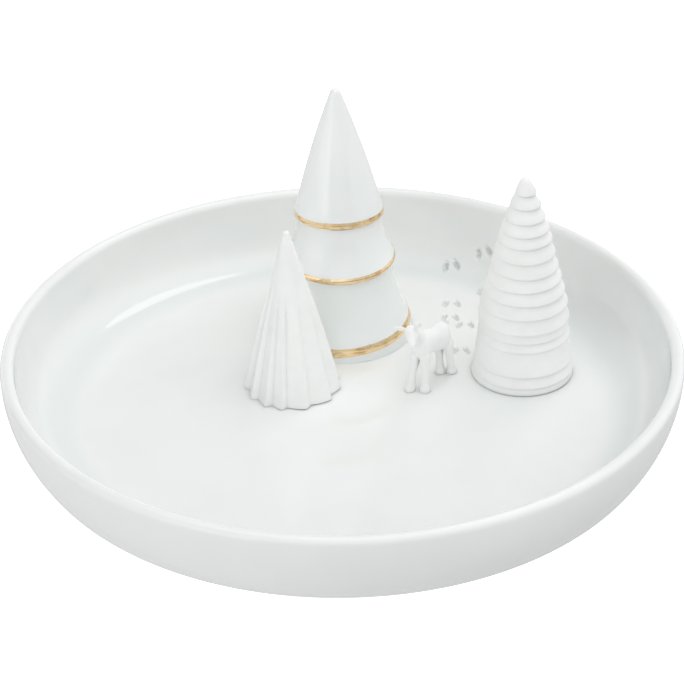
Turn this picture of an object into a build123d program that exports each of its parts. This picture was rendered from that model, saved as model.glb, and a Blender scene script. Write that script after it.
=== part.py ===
from build123d import *

import math
import os

os.makedirs("parts", exist_ok=True)

# Ring dish: a shallow round porcelain dish whose floor carries three small conical trees
# that rings drop over, and a standing deer with a trail of hoofprints behind it.
# Millimetres. The origin is the centre of the foot's resting face, +Z up, -Y to the front.

# Dish
dish_diameter = 140.0
dish_height = 20.0
rim_thickness = 2.8
wall_arc_radius = 25.0
heel_radius = 8.5
cove_radius = 10.0
floor_height = 4.6
belly_clearance = 0.65
foot_recess = 1.2
foot_outer_radius = 54.0
foot_width = 3.6
foot_edge_radius = 0.5
vent_radius = 1.5

# Hoofprints pressed into the floor, two toes to a print
toe_length = 3.2
toe_width = 1.2
toe_depth = 0.4
toe_spacing = 2.5
toe_in_deg = 14.0
# Places across and along the dish as shares of its rim radius
print_place_shares = (
    (0.365, 0.311),
    (0.385, 0.467),
    (0.340, 0.512),
    (0.464, 0.562),
    (0.348, 0.599),
    (0.462, 0.672),
    (0.356, 0.805),
    (0.460, 0.806),
)

# Tall glazed tree: three flared tiers, the upper two cut off by a tipped lower edge.
# Their sides are drawn down to a skirt below that edge.
tier_skirt_drop = 2.0
tall_tree_x = 0.2
tall_tree_y = 32.2
tall_tree_lean_deg = 0.9
tall_tree_height = 57.6
tall_tree_wall = 2.3
tip_radius = 1.3
base_tier_radius = 15.0
foot_bead_step = 0.4
foot_bead_height = 0.7
base_tier_edge_height = 2.2
base_tier_nose = 2.6
base_tier_bow = -0.8
middle_neck_radius = 10.55
middle_skirt_radius = 13.6
middle_tier_edge_height = 17.35
middle_tier_nose = 0.75
middle_tier_bow = -1.0
middle_tier_tip_deg = 1.0
top_neck_radius = 8.4
top_skirt_radius = 10.2
top_tier_edge_height = 28.0
top_tier_nose = 0.75
top_tier_bow = 0.55
top_tier_tip_deg = -6.0

# Gold lustre bands on the tiers' edges, drawn as thick as a solid needs
lustre_thickness = 0.12
base_band_start = 1.55
base_band_height = 2.3
base_band_tip_deg = 2.0
base_band_roll_deg = -2.0
middle_band_height = 1.45
middle_band_inner_radius = 11.3
top_band_height = 1.6
top_band_inner_radius = 8.9

# Pleated matt tree, standing close before the tall one in a direction from it
pleated_tree_bearing_deg = 245.7
tree_gap = 0.3
pleated_tree_lean_deg = 0.9
pleated_tree_height = 36.6
pleated_tree_radius = 10.3
pleated_tree_wall = 2.0
pleat_depth = 0.95
pleat_belly = 0.3
pleated_tip_radius = 0.75
# Directions of the valleys between pleats, as shares of a turn from the front
valley_turn_shares = (
    -0.155, -0.088, -0.032, 0.056, 0.157, 0.234, 0.311, 0.388, 0.464, 0.540, 0.617, 0.694, 0.770,
)

# Ribbed matt tree
ribbed_tree_x = 38.1
ribbed_tree_y = 13.3
ribbed_tree_lean_deg = 0.4
ribbed_tree_height = 46.0
ribbed_tree_radius = 10.8
ribbed_tree_wall = 2.0
rib_step = 0.22
ribs_under_waist = 4
ribbed_tip_radius = 1.25
# Lower lips of the ribs: height as a share of the tree's, radius as a share of its base's
rib_lip_shares = (
    (0.035, 0.985),
    (0.091, 0.950),
    (0.211, 0.895),
    (0.254, 0.868),
    (0.302, 0.880),
    (0.372, 0.845),
    (0.437, 0.785),
    (0.500, 0.715),
    (0.561, 0.648),
    (0.628, 0.588),
    (0.696, 0.520),
    (0.748, 0.460),
    (0.804, 0.385),
    (0.867, 0.300),
    (0.926, 0.205),
)

# Deer, walking towards the front left; its own +X is forward and its +Y is its left
deer_x = 18.85
deer_y = 9.3
deer_heading_deg = 229.0
deer_wheelbase = 9.5
deer_stride = 0.85
deer_front_track = 2.7
deer_hind_track = 1.8
deer_leg_depth = 2.7
deer_leg_width = 2.4
deer_hip_reach = 3.5
deer_hip_spread = 2.3
deer_hip_height = 9.8
deer_rump_reach = 4.9
deer_rump_height = 9.8
deer_chest_reach = 5.5
deer_chest_height = 10.8
deer_body_depth = 6.3
deer_body_width = 4.6
deer_neck_start = 3.1
deer_neck_start_height = 11.0
deer_neck_depth = 4.3
deer_neck_width = 3.2
deer_head_reach = 6.6
deer_head_height = 15.0
deer_head_length = 5.2
deer_head_width = 3.1
deer_head_turn_deg = 28.0
deer_head_pitch_deg = 34.0
deer_head_tilt_deg = 18.0
deer_ear_length = 2.9
deer_ear_width = 1.4
deer_ear_thickness = 0.8
deer_ear_lift_deg = 44.0
deer_ear_root_share = 0.25
deer_tail_start = 4.5
deer_tail_start_height = 10.9
deer_tail_length = 2.5
deer_tail_width = 1.1
deer_tail_lean_deg = 14.0
# Girth along each limb: place as a share of its length, girth as a share of its widest
body_girth_shares = (
    (0.0, 0.30), (0.05, 0.70), (0.18, 1.0), (0.5, 0.86), (0.8, 0.98), (0.94, 0.72), (1.0, 0.3),
)
leg_girth_shares = (
    (-0.1, 0.98), (0.05, 0.92), (0.17, 0.68), (0.42, 0.66), (0.66, 0.84), (0.86, 1.0), (1.0, 0.6),
)
neck_girth_shares = ((0.0, 1.0), (0.4, 0.86), (1.0, 0.62))
head_girth_shares = (
    (0.0, 0.35), (0.07, 0.76), (0.3, 1.0), (0.55, 0.78), (0.8, 0.52), (0.94, 0.44), (1.0, 0.24),
)
ear_girth_shares = ((0.0, 0.5), (0.2, 0.72), (0.55, 1.0), (0.85, 0.62), (1.0, 0.18))
tail_girth_shares = ((0.0, 0.7), (0.4, 1.0), (0.8, 0.74), (1.0, 0.25))

# How far cutters and castings run past the face that trims them
overrun = 2.0

rim_radius = dish_diameter / 2
lip_radius = rim_thickness / 2
lip_height = dish_height - lip_radius
inner_arc_radius = wall_arc_radius - rim_thickness
wall_centre_radius = rim_radius - wall_arc_radius

foot_bead_radius = base_tier_radius + foot_bead_step
pleated_tree_distance = foot_bead_radius + tree_gap + pleated_tree_radius
pleated_tree_x = tall_tree_x + pleated_tree_distance * math.cos(math.radians(pleated_tree_bearing_deg))
pleated_tree_y = tall_tree_y + pleated_tree_distance * math.sin(math.radians(pleated_tree_bearing_deg))


def rolled_centre(outer_radius, small_radius, level):
    """Centre and end direction of a small arc that rolls inside the wall's arc onto a level."""
    drop = lip_height - (level + small_radius)
    reach = math.sqrt((outer_radius - small_radius) ** 2 - drop**2)
    return (wall_centre_radius + reach, level + small_radius), -math.degrees(math.atan2(drop, reach))


heel_centre, heel_deg = rolled_centre(wall_arc_radius, heel_radius, belly_clearance)
cove_centre, cove_deg = rolled_centre(inner_arc_radius, cove_radius, floor_height)


def turned(*edges):
    """Solid of revolution about +Z from the edges of a closed outline of radius and height."""
    return revolve(Plane.XZ * make_face(edges), Axis.Z)


def path(*points):
    """Straight edges through points, as one list to unpack into an outline."""
    return Polyline(*points).edges()


def make_dish():
    """Dish with a full round lip, bellied wall, coved floor, foot ring, vents and hoofprints."""
    foot_inner_radius = foot_outer_radius - foot_width
    body = turned(
        CenterArc(heel_centre, heel_radius, -90, 90 + heel_deg),
        CenterArc((wall_centre_radius, lip_height), wall_arc_radius, heel_deg, -heel_deg),
        CenterArc((rim_radius - lip_radius, lip_height), lip_radius, 0, 90),
        CenterArc((rim_radius - lip_radius, lip_height), lip_radius, 90, 90),
        CenterArc((wall_centre_radius, lip_height), inner_arc_radius, cove_deg, -cove_deg),
        CenterArc(cove_centre, cove_radius, -90, 90 + cove_deg),
        *path(
            (cove_centre[0], floor_height),
            (0, floor_height),
            (0, foot_recess),
            (foot_inner_radius, foot_recess),
            (foot_inner_radius, foot_edge_radius),
        ),
        CenterArc((foot_inner_radius + foot_edge_radius, foot_edge_radius), foot_edge_radius, 180, 90),
        Line((foot_inner_radius + foot_edge_radius, 0), (foot_outer_radius - foot_edge_radius, 0)),
        CenterArc((foot_outer_radius - foot_edge_radius, foot_edge_radius), foot_edge_radius, -90, 90),
        *path(
            (foot_outer_radius, foot_edge_radius),
            (foot_outer_radius, belly_clearance),
            (heel_centre[0], belly_clearance),
        ),
    )
    vent = Cylinder(vent_radius, floor_height + overrun)
    for x, y in (
        (tall_tree_x, tall_tree_y),
        (pleated_tree_x, pleated_tree_y),
        (ribbed_tree_x, ribbed_tree_y),
    ):
        body -= Pos(x, y, floor_height / 2) * vent
    for place in print_place_shares:
        body -= hoofprint(place[0] * rim_radius, place[1] * rim_radius)
    return body


def surface_under(x, y):
    """Height and outward slope, in degrees, of the dish's inner face at a place."""
    run = math.hypot(x, y) - cove_centre[0]
    if run <= 0:
        return floor_height, 0.0
    return (
        cove_centre[1] - math.sqrt(cove_radius**2 - run**2),
        math.degrees(math.asin(run / cove_radius)),
    )


def hoofprint(x, y):
    """Cutter for one print: two almond toes side by side, laid on the dish's inner face."""
    height, slope_deg = surface_under(x, y)
    outward_deg = math.degrees(math.atan2(y, x))
    toe_radius = toe_width / 2
    almond = scale(Sphere(1), by=(toe_radius, toe_length / 2, toe_radius))
    toes = Pos(-toe_spacing / 2, 0, 0) * Rot(0, 0, -toe_in_deg) * almond
    toes += Pos(toe_spacing / 2, 0, 0) * Rot(0, 0, toe_in_deg) * almond
    # The toes run along the trail, so the turn that tips them to the slope is undone in plan
    lay = Pos(x, y, height) * Rot(0, 0, outward_deg) * Rot(0, -slope_deg, 0) * Rot(0, 0, -outward_deg)
    return lay * Pos(0, 0, toe_radius - toe_depth) * toes


def tipped_edge(form, height, nose_radius, tip_deg):
    """A tier cut off by a plane tipped to the back, with its lower edge rounded under."""
    cut = Plane(Pos(0, 0, height) * Rot(X=tip_deg))
    tier = split(form, bisect_by=cut, keep=Keep.TOP)
    underside = tier.faces().sort_by(Axis(cut.origin, cut.z_dir))[0]
    return fillet(underside.edges(), nose_radius)


def tall_tree_tiers(inset):
    """The tall tree's tiers as solids, by the name of the band that each one carries.

    An inset draws their lower parts smaller all over: what lies under the lustre.
    """
    base_neck = (middle_neck_radius - inset, middle_tier_edge_height + overrun)
    # A shallow arc leaves its chord at four times its bow over the chord's length
    flare_deg = math.degrees(
        math.atan2(base_tier_radius - middle_neck_radius, base_neck[1] - base_tier_edge_height)
        - 4 * base_tier_bow / base_neck[1]
    )
    nose = CenterArc(
        (base_tier_radius - base_tier_nose, base_tier_edge_height),
        base_tier_nose - inset,
        0,
        flare_deg,
    )
    base = turned(
        *path(
            (0, -overrun),
            (foot_bead_radius - inset, -overrun),
            (foot_bead_radius - inset, 0),
            (base_tier_radius - inset, foot_bead_height),
            nose @ 0,
        ),
        nose,
        SagittaArc(nose @ 1, base_neck, -base_tier_bow),
        *path(base_neck, (0, base_neck[1]), (0, -overrun)),
    )
    middle_skirt = (middle_skirt_radius - inset, middle_tier_edge_height - tier_skirt_drop)
    middle_neck = (top_neck_radius - inset, top_tier_edge_height + overrun)
    middle = turned(
        *path((0, middle_skirt[1]), middle_skirt),
        SagittaArc(middle_skirt, middle_neck, -middle_tier_bow),
        *path(middle_neck, (0, middle_neck[1]), (0, middle_skirt[1])),
    )
    top_skirt = (top_skirt_radius - inset, top_tier_edge_height - tier_skirt_drop)
    tip_centre_height = tall_tree_height - tip_radius
    rise = tip_centre_height - top_skirt[1]
    slope_deg = math.degrees(math.atan2(top_skirt_radius - tip_radius, rise))
    shoulder_deg = slope_deg + math.degrees(4 * top_tier_bow / rise)
    tip = CenterArc((0, tip_centre_height), tip_radius, shoulder_deg, 90 - shoulder_deg)
    top = turned(
        *path((0, top_skirt[1]), top_skirt),
        SagittaArc(top_skirt, tip @ 0, -top_tier_bow),
        tip,
        Line(tip @ 1, (0, top_skirt[1])),
    )
    return {
        "gold_band_base": base,
        "gold_band_middle": tipped_edge(
            middle, middle_tier_edge_height + inset, middle_tier_nose - inset, middle_tier_tip_deg
        ),
        "gold_band_top": tipped_edge(
            top, top_tier_edge_height + inset, top_tier_nose - inset, top_tier_tip_deg
        ),
    }


def hollow(wall, tip, *necks):
    """Inside of a slip casting, a wall inside the form's necks, up to a blunt end under its tip.

    The necks and the tip are radius and height of the outer form, the foot first.
    """
    neck_radius, neck_height = necks[-1]
    # The blunt end starts where the outer form is two walls in radius
    climb = (neck_radius - 2 * wall) / (neck_radius - tip[0])
    top = (wall, neck_height + climb * (tip[1] - neck_height))
    inside = [(radius - wall, height) for radius, height in necks]
    return turned(
        *path((0, -overrun), (inside[0][0], -overrun), *inside, top),
        CenterArc((0, top[1]), wall, 0, 90),
        Line((0, top[1] + wall), (0, -overrun)),
    )


def planted(form, x, y, lean_deg):
    """A form leaned to the left about its base centre, set on the floor and trimmed flat there."""
    leaning = Pos(x, y, floor_height) * Rot(0, -lean_deg, 0) * form
    return split(leaning, bisect_by=Plane.XY.offset(floor_height), keep=Keep.TOP)


def lustre_band(tier, under, place, height, inner_radius):
    """Skin of a tier over what lies under the lustre, from a tipped place up to a height."""
    slab = Cylinder(foot_bead_radius + overrun, height, align=(Align.CENTER, Align.CENTER, Align.MIN))
    slab -= Cylinder(inner_radius, height, align=(Align.CENTER, Align.CENTER, Align.MIN))
    return (tier & place * slab) - under


def make_tall_tree():
    """Tall tree with seats for its lustre, and the three bands that fill them."""
    tiers = tall_tree_tiers(0)
    under = tall_tree_tiers(lustre_thickness)
    places = {
        "gold_band_base": (
            Pos(0, 0, base_band_start) * Rot(X=base_band_tip_deg) * Rot(Y=base_band_roll_deg),
            base_band_height,
            middle_neck_radius,
        ),
        "gold_band_middle": (
            Pos(0, 0, middle_tier_edge_height) * Rot(X=middle_tier_tip_deg),
            middle_band_height,
            middle_band_inner_radius,
        ),
        "gold_band_top": (
            Pos(0, 0, top_tier_edge_height) * Rot(X=top_tier_tip_deg),
            top_band_height,
            top_band_inner_radius,
        ),
    }
    bands = {name: lustre_band(tiers[name], under[name], *place) for name, place in places.items()}
    tree = Part() + list(tiers.values())
    tree -= hollow(
        tall_tree_wall,
        (tip_radius, tall_tree_height - tip_radius),
        (base_tier_radius, 0),
        (middle_neck_radius, middle_tier_edge_height),
        (top_neck_radius, top_tier_edge_height),
    )
    for band in bands.values():
        tree -= band
    nodes = {"tall_tree": tree, **bands}
    return {
        name: planted(solid, tall_tree_x, tall_tree_y, tall_tree_lean_deg)
        for name, solid in nodes.items()
    }


def pleat_section(ridge_radius, depth, height):
    """Outline of rounded pleats that meet in sharp valleys, at one height."""
    turns = [*valley_turn_shares, valley_turn_shares[0] + 1]

    def point(radius, turn_share):
        angle = math.radians(turn_share * 360 - 90)
        return radius * math.cos(angle), radius * math.sin(angle)

    arcs = [
        ThreePointArc(
            point(ridge_radius - depth, first),
            point(ridge_radius, (first + second) / 2),
            point(ridge_radius - depth, second),
        )
        for first, second in zip(turns, turns[1:])
    ]
    return Pos(0, 0, height) * make_face(arcs)


def make_pleated_tree():
    """Pleated cone, hollow, with the pleats running out into a small round tip."""
    tip_height = pleated_tree_height - pleated_tip_radius
    sections = []
    for share in (-overrun / tip_height, 1 / 2, 1):
        swell = pleat_belly * 4 * share * (1 - share)
        ridge = pleated_tree_radius + (pleated_tip_radius - pleated_tree_radius) * share + swell
        sections.append(
            pleat_section(ridge, pleat_depth * ridge / pleated_tree_radius, tip_height * share)
        )
    form = loft(sections, ruled=True)
    form += Pos(0, 0, tip_height) * Sphere(pleated_tip_radius)
    form -= hollow(
        pleated_tree_wall, (pleated_tip_radius, tip_height), (pleated_tree_radius - pleat_depth, 0)
    )
    return planted(form, pleated_tree_x, pleated_tree_y, pleated_tree_lean_deg)


def make_ribbed_tree():
    """Stack of shingle-like ribs, hollow, each rib's lip standing proud of the one below."""
    points = [(0, -overrun), (ribbed_tree_radius, -overrun), (ribbed_tree_radius, 0)]
    for height_share, radius_share in rib_lip_shares:
        lip_radius_here = ribbed_tree_radius * radius_share
        height = ribbed_tree_height * height_share
        points.append((lip_radius_here - rib_step, height))
        points.append((lip_radius_here, height + rib_step))
    tip_centre = (0, ribbed_tree_height - ribbed_tip_radius)
    tip = CenterArc(tip_centre, ribbed_tip_radius, 0, 90)
    points.append((ribbed_tip_radius, tip_centre[1]))
    form = turned(*path(*points), tip, Line(tip @ 1, (0, -overrun)))
    waist_height_share, waist_radius_share = rib_lip_shares[ribs_under_waist - 1]
    waist_radius = ribbed_tree_radius * waist_radius_share
    form -= hollow(
        ribbed_tree_wall,
        (ribbed_tip_radius, tip_centre[1]),
        (waist_radius, 0),
        (waist_radius, ribbed_tree_height * waist_height_share),
    )
    return planted(form, ribbed_tree_x, ribbed_tree_y, ribbed_tree_lean_deg)


def limb(start, end, depth, width, girth_shares):
    """Smooth limb between two points from its girths, in oval sections across it."""
    run = Vector(*end) - Vector(*start)
    place = Plane(origin=start, x_dir=(run.Z, 0, -run.X), z_dir=run)
    return place.location * loft(
        [
            Pos(0, 0, run.length * along) * Ellipse(depth / 2 * girth, width / 2 * girth)
            for along, girth in girth_shares
        ]
    )


def deer_head():
    """Head and ears, drawn level with the skull's centre at the origin and the nose along +X."""
    back = deer_head_length * head_girth_shares[2][0]
    head = limb(
        (-back, 0, 0),
        (deer_head_length - back, 0, 0),
        deer_head_width,
        deer_head_width,
        head_girth_shares,
    )
    root = deer_head_width * deer_ear_root_share
    for side in (1, -1):
        lift = math.radians(deer_ear_lift_deg)
        tip = (
            -root / 2,
            side * (root + deer_ear_length * math.cos(lift)),
            root + deer_ear_length * math.sin(lift),
        )
        head += limb(
            (-root / 2, side * root, root), tip, deer_ear_thickness, deer_ear_width, ear_girth_shares
        )
    return head


def make_deer():
    """Deer in one solid: body, neck, head, four legs in mid stride and an upright tail."""
    deer = limb(
        (-deer_rump_reach, 0, deer_rump_height),
        (deer_chest_reach, 0, deer_chest_height),
        deer_body_depth,
        deer_body_width,
        body_girth_shares,
    )
    deer += limb(
        (deer_neck_start, 0, deer_neck_start_height),
        (deer_head_reach, 0, deer_head_height),
        deer_neck_depth,
        deer_neck_width,
        neck_girth_shares,
    )
    deer += (
        Pos(deer_head_reach, 0, deer_head_height)
        * Rot(Z=deer_head_turn_deg)
        * Rot(X=deer_head_tilt_deg)
        * Rot(Y=deer_head_pitch_deg)
        * deer_head()
    )
    for end, track in ((1, deer_front_track), (-1, deer_hind_track)):
        for side in (1, -1):
            foot = (end * deer_wheelbase / 2 - side * deer_stride, side * track / 2, 0)
            hip = (end * deer_hip_reach, side * deer_hip_spread / 2, deer_hip_height)
            deer += limb(foot, hip, deer_leg_depth, deer_leg_width, leg_girth_shares)
    tail_lean = math.radians(deer_tail_lean_deg)
    tail_tip = (
        -deer_tail_start - deer_tail_length * math.sin(tail_lean),
        0,
        deer_tail_start_height + deer_tail_length * math.cos(tail_lean),
    )
    deer += limb(
        (-deer_tail_start, 0, deer_tail_start_height),
        tail_tip,
        deer_tail_width,
        deer_tail_width,
        tail_girth_shares,
    )
    standing = Pos(deer_x, deer_y, floor_height) * Rot(0, 0, deer_heading_deg) * deer
    return split(standing, bisect_by=Plane.XY.offset(floor_height), keep=Keep.TOP)


nodes = {
    "dish": make_dish(),
    **make_tall_tree(),
    "pleated_tree": make_pleated_tree(),
    "ribbed_tree": make_ribbed_tree(),
    "deer": make_deer(),
}
for name, solid in nodes.items():
    export_step(solid, f"parts/{name}.step")
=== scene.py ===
"""Porcelain ring dish with three small trees and a deer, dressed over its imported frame.

Sizes and places in the classes are the frame's millimetres, with the origin at the middle of the
dish's foot and -Y to the front. The pieces are made in metres.
"""

import logging
import math
import random
from collections.abc import Callable, Iterable, Sequence
from dataclasses import dataclass, replace
from enum import Enum

import bmesh
import bpy
from mathutils import Matrix, Vector


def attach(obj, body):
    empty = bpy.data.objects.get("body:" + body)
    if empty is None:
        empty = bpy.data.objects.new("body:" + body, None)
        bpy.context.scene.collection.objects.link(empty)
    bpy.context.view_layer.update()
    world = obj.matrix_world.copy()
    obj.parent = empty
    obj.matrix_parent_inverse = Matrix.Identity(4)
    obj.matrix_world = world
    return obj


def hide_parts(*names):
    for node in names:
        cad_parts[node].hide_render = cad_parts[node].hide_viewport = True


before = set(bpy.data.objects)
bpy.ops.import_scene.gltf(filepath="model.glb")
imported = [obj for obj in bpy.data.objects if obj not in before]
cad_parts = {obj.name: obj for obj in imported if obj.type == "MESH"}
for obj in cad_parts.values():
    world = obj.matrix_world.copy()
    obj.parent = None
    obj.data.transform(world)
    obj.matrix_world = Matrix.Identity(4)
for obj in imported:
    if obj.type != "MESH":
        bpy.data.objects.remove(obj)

MM = 0.001
LOG = logging.getLogger("ring_dish")
Colour = tuple[float, float, float, float]
Pair = tuple[float, float]
Point = tuple[float, float]
Place = tuple[float, float, float]

# Angle up a round tip at which a face closes its last ring
CROWN_DEG = 84.0
# How far the inside of a casting runs on below the floor before it is trimmed
OVERRUN = 1.0
# Steps in the arc that ends the inside of a casting
CROWN_STEPS = 5
# A casting's foot from below the floor, as shares of its undercut: how far in, and how far up
FOOT_SHARES = ((1.0, -1.0), (1.0, 0.15), (0.55, 0.5), (0.15, 0.75), (0.0, 1.2))
# Vertices that are closer than this are merged
MERGE = 0.001
# A change that is smaller than this is none
TINY = 1e-6


class Slot(Enum):
    """The record's material slots."""

    DISH = "glazed_dish"
    TREE = "glazed_tree"
    LUSTRE = "lustre"
    BISQUE = "bisque"


class Side(Enum):
    """The deer's own sides."""

    LEFT = 1
    RIGHT = -1


class Part(Enum):
    """What a selection takes."""

    VERTICES = "VERT"
    FACES = "FACE"


class Falloff(Enum):
    """The shape of the soft edge round what is pulled."""

    SMOOTH = "SMOOTH"
    ROUND = "SPHERE"


# Materials


def linear(hex_colour: str, alpha: float = 1.0) -> Colour:
    """Turns an sRGB hex colour into linear values.

    Args:
        hex_colour: six hex digits with a leading hash.
        alpha: opacity that is passed on.

    Returns:
        Linear red, green and blue, and the opacity.
    """
    values = [int(hex_colour[i : i + 2], 16) / 255 for i in (1, 3, 5)]
    lit = [v / 12.92 if v <= 0.04045 else ((v + 0.055) / 1.055) ** 2.4 for v in values]
    return (lit[0], lit[1], lit[2], alpha)


def per_mm(size: float) -> float:
    """Gives the texture scale of a pattern whose repeat is so many millimetres."""
    return 1 / (size * MM)


def add_node(
    tree: bpy.types.NodeTree, kind: str, inputs: dict | None = None, **settings: object
) -> bpy.types.Node:
    """Adds one shader node with its inputs and settings.

    Args:
        tree: node tree that takes the node.
        kind: Blender's class name of the node, after its ShaderNode.
        inputs: input name or number to a constant, or to the output that feeds it.
        **settings: the node's own settings.

    Returns:
        The new node.
    """
    node = tree.nodes.new("ShaderNode" + kind)
    for name, value in settings.items():
        setattr(node, name, value)
    for name, value in (inputs or {}).items():
        if isinstance(value, bpy.types.NodeSocket):
            tree.links.new(value, node.inputs[name])
        else:
            node.inputs[name].default_value = value
    return node


def paint_recess_shade(
    tree: bpy.types.NodeTree, colour: bpy.types.NodeSocket, painted_shade: str, reach: float
) -> bpy.types.NodeSocket:
    """Paints shade into a colour: darker where other surface is close, by ambient occlusion.

    Args:
        tree: the material's node tree.
        colour: the colour of the open surface.
        painted_shade: the colour of the painted shade in a recess, as sRGB hex.
        reach: how far a recess reaches, in millimetres.

    Returns:
        The colour with the painted shade mixed in.
    """
    shade_occlusion = add_node(tree, "AmbientOcclusion", {"Distance": reach * MM}, samples=8)
    share = add_node(tree, "MapRange", {"Value": shade_occlusion.outputs["AO"], "From Min": 0.3, "From Max": 0.92})
    mixed = {0: share.outputs["Result"], 6: linear(painted_shade), 7: colour}
    return add_node(tree, "Mix", mixed, data_type="RGBA").outputs[2]


def relief(
    tree: bpy.types.NodeTree, patterns: Sequence[tuple[bpy.types.NodeSocket, float]]
) -> bpy.types.NodeSocket:
    """Lays patterns over each other as relief.

    Args:
        tree: the material's node tree.
        patterns: each pattern with its depth in millimetres, the coarsest first.

    Returns:
        The normal.
    """
    normal = None
    for height, depth in patterns:
        inputs = {"Height": height, "Strength": 1.0, "Distance": depth * MM}
        if normal is not None:
            inputs["Normal"] = normal
        normal = add_node(tree, "Bump", inputs).outputs["Normal"]
    return normal


def new_material(name: str) -> tuple[bpy.types.Material, bpy.types.NodeTree, bpy.types.NodeSocket]:
    """Makes an empty material that reads Object coordinates.

    Args:
        name: the material's name.

    Returns:
        The material, its node tree and the coordinates of the piece that has it.
    """
    material = bpy.data.materials.new(name)
    material.use_nodes = True
    tree = material.node_tree
    tree.nodes.clear()
    return material, tree, add_node(tree, "TexCoord").outputs["Object"]


def give_surface(material: bpy.types.Material, inputs: dict) -> bpy.types.Material:
    """Ends a material with a Principled shader that has these constants and links.

    Args:
        material: the material.
        inputs: the shader's input names to constants or to outputs.

    Returns:
        The same material.
    """
    shader = add_node(material.node_tree, "BsdfPrincipled", inputs)
    add_node(material.node_tree, "OutputMaterial", {"Surface": shader.outputs["BSDF"]})
    return material


@dataclass(frozen=True)
class ClearGlaze:
    """Cast porcelain under a clear glaze that was dipped and fired to a full gloss.

    The eye gets a bright white body a little below the surface, a sharp reflection over it, a
    faint lazy waviness in that reflection, and a cooler tint where the glaze lies thick in the
    cove. Pressed marks and the places where pieces meet get painted shade, a greyer colour laid in
    where other surface is near.
    """

    name: str
    body: str = "#F2F4F3"
    pooled: str = "#E3E9E8"
    # Colour and reach of the painted shade in pressed marks and where pieces meet
    painted_shade: str = "#D2D8D6"
    painted_shade_reach: float = 1.4
    drift: float = 22.0
    drift_tint: float = 0.3
    ripple: float = 9.0
    ripple_depth: float = 0.006
    peel: float = 1.1
    peel_depth: float = 0.0007
    pool_radius: float = 0.0
    pool_width: float = 1.0
    pool_tint: float = 0.7

    def pool(self, tree: bpy.types.NodeTree, place: bpy.types.NodeSocket) -> bpy.types.NodeSocket:
        """Gives how much glaze has run together at the foot of the cove, in a ring.

        Args:
            tree: the material's node tree.
            place: Object coordinates.

        Returns:
            The tint, from 0 away from the ring to its full share on it.
        """
        flat = add_node(tree, "VectorMath", {0: place, 1: (1.0, 1.0, 0.0)}, operation="MULTIPLY")
        reach = add_node(tree, "VectorMath", {0: flat.outputs[0]}, operation="LENGTH")
        ring = {0: reach.outputs["Value"], 1: self.pool_radius * MM}
        off = add_node(tree, "Math", ring, operation="SUBTRACT")
        away = add_node(tree, "Math", {0: off.outputs[0]}, operation="ABSOLUTE")
        width = {"From Min": 0.0, "From Max": self.pool_width * MM}
        fade = {"Value": away.outputs[0], **width, "To Min": self.pool_tint, "To Max": 0.0}
        return add_node(tree, "MapRange", fade, interpolation_type="SMOOTHSTEP").outputs["Result"]

    def material(self) -> bpy.types.Material:
        """Makes the glaze.

        Returns:
            The material.
        """
        material, tree, place = new_material(self.name)
        drift, ripple, peel = (
            add_node(
                tree,
                "TexNoise",
                {"Vector": place, "Scale": per_mm(size), "Detail": detail, "Roughness": rough},
            ).outputs["Fac"]
            for size, detail, rough in (
                (self.drift, 3.0, 0.55), (self.ripple, 1.0, 0.5), (self.peel, 2.0, 0.5),
            )
        )
        clouds = {"Value": drift, "From Min": 0.35, "From Max": 0.75, "To Max": self.drift_tint}
        tint = add_node(tree, "MapRange", clouds, interpolation_type="SMOOTHSTEP").outputs["Result"]
        if self.pool_radius:
            tint = add_node(
                tree, "Math", {0: tint, 1: self.pool(tree, place)}, operation="MAXIMUM"
            ).outputs[0]
        tones = {0: tint, 6: linear(self.body), 7: linear(self.pooled)}
        colour = add_node(tree, "Mix", tones, data_type="RGBA").outputs[2]
        return give_surface(
            material,
            {
                # Painted shade: the colour goes greyer where other surface is near
                "Base Color": paint_recess_shade(tree, colour, self.painted_shade, self.painted_shade_reach),
                "Coat Normal": relief(tree, ((ripple, self.ripple_depth), (peel, self.peel_depth))),
                "Roughness": 0.5,
                "Specular IOR Level": 0.1,
                "Coat Weight": 1.0,
                "Coat Roughness": 0.035,
                "Coat IOR": 1.52,
                "Subsurface Weight": 0.12,
                "Subsurface Scale": 1.0 * MM,
                "Subsurface Radius": (1.0, 0.9, 0.8),
            },
        )


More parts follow.
